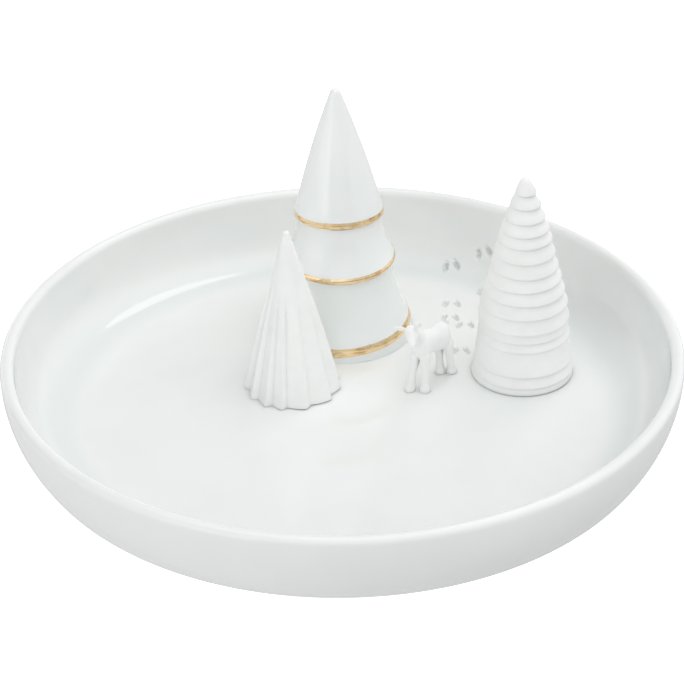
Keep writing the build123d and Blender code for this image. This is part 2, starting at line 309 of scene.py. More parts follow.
@dataclass(frozen=True)
class MattBisque:
    """Unglazed porcelain, fired hard and left bare.

    The eye gets a chalky white with no reflection, the fine grain of the fired clay, the faint
    cloudiness that a sponged casting keeps, and painted shade in folds and under ribs, a greyer
    colour laid in where other surface is near.
    """

    name: str = "bisque_porcelain"
    body: str = "#FAFBFA"
    cloud: str = "#F5F6F5"
    # Colour and reach of the painted shade in folds and under ribs
    painted_shade: str = "#CFD5D3"
    painted_shade_reach: float = 1.1
    drift: float = 5.5
    sponge: float = 1.6
    sponge_depth: float = 0.012
    grain: float = 0.22
    grain_depth: float = 0.006

    def material(self) -> bpy.types.Material:
        """Makes the bisque.

        Returns:
            The material.
        """
        material, tree, place = new_material(self.name)
        cloud, sponge, grain = (
            add_node(
                tree,
                "TexNoise",
                {"Vector": place, "Scale": per_mm(size), "Detail": detail, "Roughness": rough},
            ).outputs["Fac"]
            for size, detail, rough in (
                (self.drift, 4.0, 0.6), (self.sponge, 3.0, 0.5), (self.grain, 2.0, 0.7),
            )
        )
        tint = add_node(tree, "MapRange", {"Value": cloud, "From Min": 0.35, "From Max": 0.7})
        tones = {0: tint.outputs["Result"], 6: linear(self.body), 7: linear(self.cloud)}
        colour = add_node(tree, "Mix", tones, data_type="RGBA").outputs[2]
        rough = add_node(tree, "MapRange", {"Value": sponge, "To Min": 0.58, "To Max": 0.72})
        return give_surface(
            material,
            {
                # Painted shade: the colour goes greyer in folds and under ribs
                "Base Color": paint_recess_shade(tree, colour, self.painted_shade, self.painted_shade_reach),
                "Roughness": rough.outputs["Result"],
                "Normal": relief(tree, ((sponge, self.sponge_depth), (grain, self.grain_depth))),
                "IOR": 1.5,
                "Specular IOR Level": 0.3,
                "Subsurface Weight": 0.05,
                "Subsurface Scale": 1.0 * MM,
                "Subsurface Radius": (1.0, 0.92, 0.85),
            },
        )


@dataclass(frozen=True)
class GoldLustre:
    """Gold lustre brushed over the glaze and fired on.

    The eye gets a thin mirror of warm gold that takes the glaze's gloss, with long brush
    streaks round the form and browner places where the coat is thin.
    """

    axis: Point
    name: str = "gold_lustre"
    full: str = "#F4D9AE"
    thin: str = "#CDA26B"
    streak: float = 0.28
    streak_depth: float = 0.002
    sweep: float = 7.0
    # A tier's radius, which one radian round the tree is worth along the brush's path
    arm: float = 12.0
    coat: float = 2.4

    def material(self) -> bpy.types.Material:
        """Makes the lustre.

        Returns:
            The material.
        """
        material, tree, place = new_material(self.name)
        middle = (-self.axis[0] * MM, -self.axis[1] * MM, 0.0)
        centred = add_node(tree, "Mapping", {"Vector": place, "Location": middle})
        parts = add_node(tree, "SeparateXYZ", {0: centred.outputs["Vector"]}).outputs
        around = add_node(tree, "Math", {0: parts["Y"], 1: parts["X"]}, operation="ARCTAN2")
        along, across = (
            add_node(tree, "Math", {0: way, 1: scale}, operation="MULTIPLY").outputs[0]
            for way, scale in (
                (around.outputs[0], self.arm / self.sweep), (parts["Z"], per_mm(self.streak)),
            )
        )
        laid = add_node(tree, "CombineXYZ", {"X": along, "Y": across}).outputs[0]
        streaks, coat = (
            add_node(
                tree, "TexNoise", {"Vector": way, "Scale": scale, "Detail": 3.0, "Roughness": rough}
            ).outputs["Fac"]
            for way, scale, rough in ((laid, 1.0, 0.6), (place, per_mm(self.coat), 0.5))
        )
        worn = add_node(tree, "Math", {0: streaks, 1: coat}, operation="MULTIPLY").outputs[0]
        tint = add_node(
            tree,
            "MapRange",
            {"Value": worn, "From Min": 0.25, "From Max": 0.42},
            interpolation_type="SMOOTHSTEP",
        )
        tones = {0: tint.outputs["Result"], 6: linear(self.full), 7: linear(self.thin)}
        rough = add_node(tree, "MapRange", {"Value": coat, "To Min": 0.04, "To Max": 0.14})
        return give_surface(
            material,
            {
                "Base Color": add_node(tree, "Mix", tones, data_type="RGBA").outputs[2],
                "Roughness": rough.outputs["Result"],
                "Normal": relief(tree, ((streaks, self.streak_depth),)),
                "Metallic": 1.0,
            },
        )


@dataclass(frozen=True)
class PaleSweep:
    """Seamless studio paper, plain and pale.

    The eye gets the faintest tooth, so brightly lit that the paper runs into the white behind it.
    """

    name: str = "studio_paper"
    near: str = "#FBFBFA"
    far: str = "#F7F8F7"
    tooth: float = 1.5
    glow: float = 0.6

    def material(self) -> bpy.types.Material:
        """Makes the paper.

        Returns:
            The material.
        """
        material, tree, place = new_material(self.name)
        tooth = add_node(tree, "TexNoise", {0: place, "Scale": per_mm(self.tooth), "Detail": 2.0})
        tones = {0: tooth.outputs["Fac"], 6: linear(self.near), 7: linear(self.far)}
        return give_surface(
            material,
            {
                "Base Color": add_node(tree, "Mix", tones, data_type="RGBA").outputs[2],
                "Roughness": 0.9,
                "Specular IOR Level": 0.0,
                "Emission Color": linear("#FFFFFF"),
                "Emission Strength": self.glow,
            },
        )


# Modelling by operators


@dataclass(frozen=True)
class Ring:
    """A ring of edges round an upright form, in millimetres from the middle of its foot.

    A tip turns it about X and lifts the front where it is below zero. A roll turns it about Y
    and lifts the right where it is below zero. The slope is how much the form narrows for each
    millimetre of height, which moves the centre of a tipped ring. The rise goes along the
    tipped axis. The shift moves the ring off the form's middle.
    """

    radius: float
    height: float
    tip_deg: float = 0.0
    roll_deg: float = 0.0
    slope: float = 0.0
    rise: float = 0.0
    shift: Pair = (0.0, 0.0)

    @property
    def centre(self) -> Vector:
        """The ring's centre.

        Returns:
            The centre in metres.
        """
        tip, roll = math.radians(self.tip_deg), math.radians(self.roll_deg)
        turn = Matrix.Rotation(tip, 3, "X") @ Matrix.Rotation(roll, 3, "Y")
        narrowing = self.radius * self.slope
        lean = Vector((narrowing * math.tan(roll), -narrowing * math.tan(tip), self.rise))
        return (Vector((*self.shift, self.height)) + turn @ lean) * MM

    def spot(self, angle: float) -> Vector:
        """Gives a place on the ring in millimetres.

        Args:
            angle: the angle in radians, from the right.

        Returns:
            The place, on the tipped ring.
        """
        spot = self.centre / MM + Vector((math.cos(angle), math.sin(angle), 0)) * self.radius
        tip, roll = math.radians(self.tip_deg), math.radians(self.roll_deg)
        return spot + Vector((0, 0, math.tan(tip) * spot.y - math.tan(roll) * spot.x))


def deselect() -> None:
    """Goes to object mode with nothing selected."""
    if bpy.context.mode != "OBJECT":
        bpy.ops.object.mode_set(mode="OBJECT")
    bpy.ops.object.select_all(action="DESELECT")


def begin(name: str, primitive: Callable, **settings: object) -> bpy.types.Object:
    """Adds a primitive as a new piece and goes into edit mode with it.

    Args:
        name: the piece's name.
        primitive: the operator that adds it.
        **settings: the operator's settings.

    Returns:
        The new object, all selected.
    """
    deselect()
    primitive(**settings)
    piece = bpy.context.object
    piece.name = piece.data.name = name
    bpy.ops.object.mode_set(mode="EDIT")
    return piece


def rest(piece: bpy.types.Object) -> None:
    """Goes back to object mode with one piece selected, its place put into its mesh.

    Args:
        piece: the piece, active afterwards.
    """
    deselect()
    piece.select_set(True)
    bpy.context.view_layer.objects.active = piece
    bpy.ops.object.transform_apply(location=True, rotation=True, scale=True)


def edit(piece: bpy.types.Object, whole: bool = False) -> None:
    """Goes into edit mode with one piece.

    Args:
        piece: the piece.
        whole: whether all of it is selected, instead of nothing.
    """
    rest(piece)
    bpy.ops.object.mode_set(mode="EDIT")
    bpy.ops.mesh.select_all(action="SELECT" if whole else "DESELECT")


def select(piece: bpy.types.Object, part: Part, wanted: Callable[[Vector, Vector], bool]) -> int:
    """Selects the vertices or faces that pass a test.

    Args:
        piece: a piece in edit mode.
        part: which of the two.
        wanted: the test, of a place in millimetres and a normal.

    Returns:
        How many were selected.
    """
    bpy.ops.mesh.select_mode(type=part.value)
    mesh = bmesh.from_edit_mesh(piece.data)
    if part is Part.FACES:
        found = [(face, face.calc_center_median()) for face in mesh.faces]
    else:
        found = [(vertex, vertex.co) for vertex in mesh.verts]
    count = 0
    for element, place in found:
        hit = wanted(place / MM, element.normal)
        element.select_set(hit)
        count += hit
    mesh.select_flush_mode()
    bmesh.update_edit_mesh(piece.data)
    return count


def pull(
    way: Vector, reach: float, falloff: Falloff = Falloff.SMOOTH, connected: bool = False
) -> None:
    """Moves the selection and lets what lies round it follow softly.

    Args:
        way: the move in millimetres.
        reach: how far round the selection it is felt.
        falloff: the shape of the soft edge.
        connected: whether only connected surface follows.
    """
    bpy.ops.transform.translate(
        value=way * MM,
        use_proportional_edit=True,
        proportional_edit_falloff=falloff.value,
        proportional_size=reach * MM,
        use_proportional_connected=connected,
    )


def turn_selected(degrees: float, axis: str, centre: Vector) -> None:
    """Turns the selection about an axis through a centre, counter-clockwise seen from its tip."""
    # With no window this operator turns the other way
    bpy.ops.transform.rotate(
        value=-math.radians(degrees), orient_axis=axis, orient_type="GLOBAL", center_override=centre
    )


def raise_rings(rings: Sequence[Ring]) -> None:
    """Extrudes the selected ring through others.

    Args:
        rings: the rings in order. The first is the one that is selected.
    """
    for before, after in zip(rings, rings[1:]):
        bpy.ops.mesh.extrude_edges_move(
            TRANSFORM_OT_translate={"value": after.centre - before.centre}
        )
        share = after.radius / before.radius
        if abs(share - 1) > TINY:
            bpy.ops.transform.resize(value=(share, share, share), center_override=after.centre)
        if after.tip_deg != before.tip_deg:
            turn_selected(after.tip_deg - before.tip_deg, "X", after.centre)
        if after.roll_deg != before.roll_deg:
            turn_selected(after.roll_deg - before.roll_deg, "Y", after.centre)


def ring_form(name: str, rings: Sequence[Ring], sides: int) -> bpy.types.Object:
    """Makes a piece of rings from a first circle.

    Args:
        name: the piece's name.
        rings: its rings in order.
        sides: edges round each ring.

    Returns:
        The piece in edit mode, open at both ends, its last ring selected.
    """
    first = rings[0]
    piece = begin(
        name,
        bpy.ops.mesh.primitive_circle_add,
        vertices=sides,
        radius=first.radius * MM,
        fill_type="NOTHING",
        location=first.centre,
    )
    if first.tip_deg:
        turn_selected(first.tip_deg, "X", first.centre)
    if first.roll_deg:
        turn_selected(first.roll_deg, "Y", first.centre)
    raise_rings(rings)
    return piece


def close_ends() -> None:
    """Fills every open ring of the piece in edit mode."""
    bpy.ops.mesh.select_all(action="SELECT")
    bpy.ops.mesh.fill_holes(sides=0)


def face_outwards() -> None:
    """Merges what lies in one place and points all faces of the piece in edit mode outwards."""
    bpy.ops.mesh.select_all(action="SELECT")
    bpy.ops.mesh.remove_doubles(threshold=MERGE * MM)
    bpy.ops.mesh.normals_make_consistent(inside=False)


def bridge_open_rings() -> None:
    """Joins the two open rings of the piece in edit mode."""
    bpy.ops.mesh.select_mode(type="EDGE")
    bpy.ops.mesh.select_all(action="DESELECT")
    bpy.ops.mesh.select_non_manifold()
    bpy.ops.mesh.bridge_edge_loops()


def trim_below(piece: bpy.types.Object, height: float, fill: bool) -> None:
    """Cuts away what lies below a height.

    Args:
        piece: the piece, in edit mode afterwards.
        height: the height in millimetres.
        fill: whether the cut is filled.
    """
    edit(piece, whole=True)
    bpy.ops.mesh.bisect(
        plane_co=(0.0, 0.0, height * MM), plane_no=(0.0, 0.0, 1.0), clear_inner=True, use_fill=fill
    )


def apply_modifier(piece: bpy.types.Object, kind: str, **settings: object) -> None:
    """Puts one modifier on a piece and applies it at once.

    Args:
        piece: the piece.
        kind: Blender's name of the modifier.
        **settings: the modifier's settings.
    """
    rest(piece)
    modifier = piece.modifiers.new(kind.lower(), kind)
    for name, value in settings.items():
        setattr(modifier, name, value)
    bpy.ops.object.modifier_apply(modifier=modifier.name)


def join(pieces: Sequence[bpy.types.Object]) -> bpy.types.Object:
    """Joins pieces into one.

    Args:
        pieces: the pieces, the one that stays first.

    Returns:
        The piece that has them all.
    """
    for piece in reversed(pieces):
        rest(piece)
    for piece in pieces[1:]:
        piece.select_set(True)
    bpy.ops.object.join()
    return pieces[0]


def set_down(piece: bpy.types.Object, place: Place, axis: int, degrees: float) -> None:
    """Turns a piece, then moves it, and puts both into its mesh.

    Args:
        piece: the piece.
        place: where its origin goes, in millimetres.
        axis: the number of the axis through the origin that it turns about.
        degrees: how far.
    """
    rest(piece)
    piece.rotation_euler[axis] = math.radians(degrees)
    piece.location = Vector(place) * MM
    rest(piece)


def smooth(piece: bpy.types.Object, degrees: float) -> None:
    """Shades a piece smooth but for edges sharper than an angle.

    Args:
        piece: the piece.
        degrees: the angle.
    """
    rest(piece)
    bpy.ops.object.shade_smooth_by_angle(angle=math.radians(degrees))


def arc(centre: Point, radius: float, start_deg: float, end_deg: float, steps: int) -> list[Point]:
    """Gives points along an arc in an upright section.

    Args:
        centre: radius and height of the arc's centre.
        radius: the arc's radius.
        start_deg: direction of the first point from the centre.
        end_deg: direction of the last one.
        steps: how many steps lie between them.

    Returns:
        The points, both ends included.
    """
    turns = [math.radians(start_deg + (end_deg - start_deg) * i / steps) for i in range(steps + 1)]
    return [(centre[0] + radius * math.cos(a), centre[1] + radius * math.sin(a)) for a in turns]


def bowed(start: Point, end: Point, bow: float, steps: int) -> list[Point]:
    """Gives points along a shallow curve in an upright section.

    Args:
        start: radius and height of the first point.
        end: radius and height of the last one.
        bow: how far the curve's middle lies outside the straight line.
        steps: how many steps lie between them.

    Returns:
        The points, both ends included.
    """
    run, rise = end[0] - start[0], end[1] - start[1]
    length = math.hypot(run, rise)
    points = []
    for i in range(steps + 1):
        share = i / steps
        swell = bow * 4 * share * (1 - share)
        points.append(
            (start[0] + run * share + swell * rise / length, start[1] + rise * share - swell * run / length)
        )
    return points


def slope_at(points: Sequence[Point], i: int) -> float:
    """Gives how much an outline narrows per millimetre of height.

    Args:
        points: the outline.
        i: the number of the point.

    Returns:
        The narrowing, or 0 where the outline runs level.
    """
    low, high = points[max(i - 1, 0)], points[min(i + 1, len(points) - 1)]
    rise = high[1] - low[1]
    return (low[0] - high[0]) / rise if abs(rise) > TINY else 0.0


def radius_at(points: Sequence[Point], height: float) -> float:
    """Gives an outline's radius at a height.

    Args:
        points: the outline, from below.
        height: the height.

    Returns:
        The radius between the two points next to that height, or else the last point's.
    """
    for low, high in zip(points, points[1:]):
        if low[1] <= height <= high[1]:
            share = (height - low[1]) / (high[1] - low[1])
            return low[0] + (high[0] - low[0]) * share
    return points[-1][0]


def slope_near(points: Sequence[Point], height: float, reach: float) -> float:
    """Gives how much an outline narrows per millimetre, from as far below a height as above it."""
    return (radius_at(points, height - reach) - radius_at(points, height + reach)) / (2 * reach)


def dress(
    piece: bpy.types.Object, material: bpy.types.Material, node: str
) -> bpy.types.Object:
    """Gives a piece its finish, hangs it under the root and hides the frame's part that it stands for.

    Args:
        piece: the finished piece.
        material: its finish.
        node: the node that it stands for.

    Returns:
        The same piece.
    """
    piece.data.materials.clear()
    piece.data.materials.append(material)
    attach(piece, "root")
    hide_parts(node)
    LOG.info("%s: %d faces", piece.name, len(piece.data.polygons))
    return piece


def hollow_rings(wall: float, tip: Point, necks: Sequence[Point]) -> list[Ring]:
    """Gives the inside of a slip casting, a wall inside the form's necks, to a blunt end.

    Args:
        wall: thickness of the casting.
        tip: radius and height of the outer form's tip.
        necks: radius and height of the outer form at its foot and at each neck.

    Returns:
        Rings from below the floor up.
    """
    neck = necks[-1]
    # The inside ends in an arc where the form's radius is down to twice the wall
    climb = (neck[0] - 2 * wall) / (neck[0] - tip[0])
    points = [(necks[0][0] - wall, -OVERRUN)] + [(radius - wall, height) for radius, height in necks]
    points += arc((0.0, neck[1] + climb * (tip[1] - neck[1])), wall, 0.0, CROWN_DEG, CROWN_STEPS)
    return [Ring(radius, height) for radius, height in points]


def foot_rings(radius: float, undercut: Pair) -> list[Ring]:
    """Gives a casting's foot, which runs in under its edge where it was set down in slip.

    Args:
        radius: radius of the foot's edge.
        undercut: how far the foot runs in, and the height of the edge over the floor.

    Returns:
        Rings from below the floor up to just over the edge.
    """
    return [Ring(radius - undercut[0] * inwards, undercut[1] * up) for inwards, up in FOOT_SHARES]


@dataclass(frozen=True)
class Planting:
    """Where a tree stands, how it leans to the left, and the floor that it is trimmed to."""

    x: float
    y: float
    lean_deg: float
    floor: float = 4.6

    def put(self, piece: bpy.types.Object) -> None:
        """Puts an upright piece in the tree's place with the tree's lean."""
        set_down(piece, (self.x, self.y, self.floor), 1, -self.lean_deg)

    def plant(self, piece: bpy.types.Object, hollow: Sequence[Ring], sides: int) -> bpy.types.Object:
        """Caps a tree, gives it its inside and trims it flat on the floor.

        Args:
            piece: the outside in edit mode, its last ring selected, open below the floor.
            hollow: rings of the inside.
            sides: edges round the inside.

        Returns:
            The closed piece in its place.
        """
        bpy.ops.mesh.edge_face_add()
        inside = ring_form("hollow", hollow, sides)
        bpy.ops.mesh.edge_face_add()
        self.put(join((piece, inside)))
        trim_below(piece, self.floor, False)
        bridge_open_rings()
        face_outwards()
        return piece


# The dish


@dataclass(frozen=True)
class Press:
    """One push of those that form a toe.

    Its place along the toe is a share of half the toe's length, its reach one of half the toe's
    width, and its depth one of the toe's depth.
    """

    place: float
    reach: float
    depth: float


@dataclass
class Dish:
    """Round dish: full lip, bellied wall, coved floor, foot ring, vents and hoofprints."""

    finish: bpy.types.Material
    plantings: Sequence[Planting]
    rim_radius: float = 70.0
    height: float = 20.0
    rim_thickness: float = 2.8
    wall_arc_radius: float = 25.0
    heel_radius: float = 8.5
    cove_radius: float = 10.0
    floor: float = 4.6
    belly: float = 0.65
    foot_recess: float = 1.2
    foot_radius: float = 54.0
    foot_width: float = 3.6
    foot_edge: float = 0.5
    vent_radius: float = 1.5
    vent_sides: int = 48
    # The floor's middle is a ring this small, filled, with few rings round it out to the plain
    # radius, and the recess below has one ring between its edge and such a middle
    middle_radius: float = 0.5
    plain_radius: float = 20.0
    recess_ring_radius: float = 30.0
    floor_rings: int = 34
    cove_rings: int = 16
    inner_rings: int = 10
    lip_rings: int = 16
    outer_rings: int = 18
    heel_rings: int = 12
    foot_edge_rings: int = 5
    sides: int = 256
    crease_deg: float = 40.0
    toe_length: float = 3.2
    toe_width: float = 1.2
    toe_depth: float = 0.7
    toe_spacing: float = 2.5
    toe_in_deg: float = 14.0
    # Half sizes of the line that is pressed in for a toe: across it, and into the clay
    toe_line: Pair = (0.12, 1.0)
    # Round each toe the inner face, whose normals rise this much at least, is cut finer
    toe_surround: float = 2.6
    inner_face_rise: float = 0.3
    print_cuts: int = 5
    presses: tuple[Press, ...] = (
        Press(0.0, 1.0, 0.75), Press(0.52, 0.72, 0.4), Press(-0.52, 0.8, 0.45),
    )
    # Places of the hoofprints as shares of the rim's radius, from the trees to the cove
    prints: tuple[Point, ...] = (
        (0.365, 0.311), (0.385, 0.467), (0.340, 0.512), (0.464, 0.562),
        (0.348, 0.599), (0.462, 0.672), (0.356, 0.805), (0.460, 0.806),
    )

    def rolled(self, outer: float, small: float, level: float) -> tuple[Point, float]:
        """Rolls a small arc inside the wall's arc onto a level.

        Args:
            outer: radius of the wall's arc.
            small: radius of the small arc.
            level: height of the level that it also touches.

        Returns:
            The small arc's centre, and the direction in degrees in which it meets the wall's.
        """
        lip_height = self.height - self.rim_thickness / 2
        drop = lip_height - (level + small)
        reach = math.sqrt((outer - small) ** 2 - drop**2)
        centre = (self.rim_radius - self.wall_arc_radius + reach, level + small)
        return centre, -math.degrees(math.atan2(drop, reach))

    def cove(self) -> tuple[Point, float]:
        """Gives centre and end direction of the cove between the floor and the wall."""
        return self.rolled(self.wall_arc_radius - self.rim_thickness, self.cove_radius, self.floor)

    def outline(self) -> list[Point]:
        """Gives the profile.

        Returns:
            Points from the middle of the floor over the lip to the middle of the foot.
        """
        lip = self.rim_thickness / 2
        lip_centre = (self.rim_radius - lip, self.height - lip)
        wall_centre = (self.rim_radius - self.wall_arc_radius, self.height - lip)
        cove, cove_deg = self.cove()
        heel, heel_deg = self.rolled(self.wall_arc_radius, self.heel_radius, self.belly)
        plain, rings = self.plain_radius, self.floor_rings
        points = [(radius, self.floor) for radius in (self.middle_radius, plain / 2, plain)]
        points += [(plain + (cove[0] - plain) * i / rings, self.floor) for i in range(1, rings)]
        points += arc(cove, self.cove_radius, -90.0, cove_deg, self.cove_rings)
        inner_arc = self.wall_arc_radius - self.rim_thickness
        points += arc(wall_centre, inner_arc, cove_deg, 0.0, self.inner_rings)[1:]
        points += arc(lip_centre, lip, 180.0, 0.0, self.lip_rings)[1:]
        points += arc(wall_centre, self.wall_arc_radius, 0.0, heel_deg, self.outer_rings)[1:]
        points += arc(heel, self.heel_radius, heel_deg, -90.0, self.heel_rings)[1:]
        points += [(self.foot_radius, self.belly)]
        edge, steps = self.foot_edge, self.foot_edge_rings
        inner = self.foot_radius - self.foot_width + edge
        points += arc((self.foot_radius - edge, edge), edge, 0.0, -90.0, steps)
        points += arc((inner, edge), edge, -90.0, -180.0, steps)
        recess = (inner - edge, self.recess_ring_radius, self.middle_radius)
        return points + [(radius, self.foot_recess) for radius in recess]

    def surface(self, x: float, y: float) -> tuple[float, float]:
        """Gives how the inner face lies at a place.

        Args:
            x: the place's way to the right.
            y: its way to the back.

        Returns:
            The face's height, and how steeply it climbs outwards in degrees.
        """
        cove, _ = self.cove()
        run = math.hypot(x, y) - cove[0]
        if run <= 0:
            return self.floor, 0.0
        drop = math.sqrt(self.cove_radius**2 - run**2)
        return cove[1] - drop, math.degrees(math.asin(run / self.cove_radius))

    def toes(self) -> list[tuple[Vector, Vector, Vector]]:
        """Lays the hoofprints' toes on the inner face.

        Returns:
            For each toe its middle, the direction it runs in and the way into the clay.
        """
        found = []
        for across, along in self.prints:
            x, y = across * self.rim_radius, along * self.rim_radius
            height, slope_deg = self.surface(x, y)
            outward = math.atan2(y, x)
            lay = (
                Matrix.Rotation(outward, 3, "Z")
                @ Matrix.Rotation(-math.radians(slope_deg), 3, "Y")
                @ Matrix.Rotation(-outward, 3, "Z")
            )
            for side in (1, -1):
                toe_in = math.radians(side * self.toe_in_deg)
                middle = Vector((x, y, height)) + lay @ Vector((side * self.toe_spacing / 2, 0, 0))
                run = lay @ Vector((-math.sin(toe_in), math.cos(toe_in), 0))
                found.append((middle, run, lay @ Vector((0, 0, -1))))
        return found

    def press_prints(self, piece: bpy.types.Object) -> None:
        """Presses the hoofprints into the clay, soft at their edges.

        Args:
            piece: the dish.
        """
        toes = self.toes()

        def near(middle: Vector, normal: Vector) -> bool:
            """Tells whether a face of the inner side lies round a toe."""
            return normal.z > self.inner_face_rise and any(
                (middle - toe[0]).length < self.toe_surround for toe in toes
            )

        edit(piece)
        select(piece, Part.FACES, near)
        bpy.ops.mesh.subdivide(number_cuts=self.print_cuts)
        line = ((self.toe_length - self.toe_width) / 4, *self.toe_line)
        for middle, run, into in toes:
            for press in self.presses:
                spot = middle + run * press.place * self.toe_length / 2

                def inside(place: Vector, _: Vector) -> bool:
                    """Tells whether a vertex lies on the line that is pressed in.

                    Args:
                        place: the vertex's place.

                    Returns:
                        Whether it lies there.
                    """
                    way = place - spot
                    spans = (way.dot(run), way.dot(into.cross(run)), way.dot(into))
                    return all(abs(span) < limit for span, limit in zip(spans, line))

                if select(piece, Part.VERTICES, inside):
                    depth, reach = press.depth * self.toe_depth, press.reach * self.toe_width / 2
                    pull(into * depth, reach, Falloff.ROUND)

    def build(self) -> bpy.types.Object:
        """Makes the dish.

        Returns:
            The dressed piece.
        """
        rings = [Ring(radius, height) for radius, height in self.outline()]
        piece = ring_form("porcelain_dish", rings, self.sides)
        close_ends()
        face_outwards()
        for planting in self.plantings:
            cutter = begin(
                "vent_cutter",
                bpy.ops.mesh.primitive_cylinder_add,
                vertices=self.vent_sides,
                radius=self.vent_radius * MM,
                depth=3 * self.floor * MM,
                location=Vector((planting.x, planting.y, self.floor / 2)) * MM,
            )
            rest(cutter)
            apply_modifier(piece, "BOOLEAN", operation="DIFFERENCE", object=cutter, solver="EXACT")
            bpy.data.objects.remove(cutter)
        self.press_prints(piece)
        smooth(piece, self.crease_deg)
        return dress(piece, self.finish, "dish")


# The tall tree and its lustre


@dataclass(frozen=True)
class Tier:
    """One tier of the tall tree: its side from the skirt up, and its tipped lower edge."""

    skirt_radius: float
    edge_height: float
    bow: float
    tip_deg: float
    nose: float = 0.75
    nose_rings: int = 6
    skirt_drop: float = 2.0

    def side(self, top: Point, steps: int) -> list[Point]:
        """Gives the side's points from the skirt to a top."""
        return bowed((self.skirt_radius, self.edge_height - self.skirt_drop), top, self.bow, steps)

    def edge(self, side: Sequence[Point], start_radius: float) -> list[Ring]:
        """Gives the rings of the underside and the rounded edge, out to where the side starts.

        Args:
            side: the side's points.
            start_radius: where the underside leaves the tier below.

        Returns:
            Rings from the inner end of the underside outwards.
        """
        slope = slope_near(side, self.edge_height, 1.0)
        pitch = math.atan(slope)
        seat = radius_at(side, self.edge_height) - slope * self.nose - self.nose / math.cos(pitch)
        level = Ring(start_radius, self.edge_height, self.tip_deg, 0.0, slope)
        rings = [level, replace(level, radius=start_radius + (seat - start_radius) / 2)]
        for i in range(self.nose_rings + 1):
            turn = -math.pi / 2 + (pitch + math.pi / 2) * i / self.nose_rings
            radius = seat + self.nose * math.cos(turn)
            rings.append(replace(level, radius=radius, rise=self.nose * (1 + math.sin(turn))))
        return rings


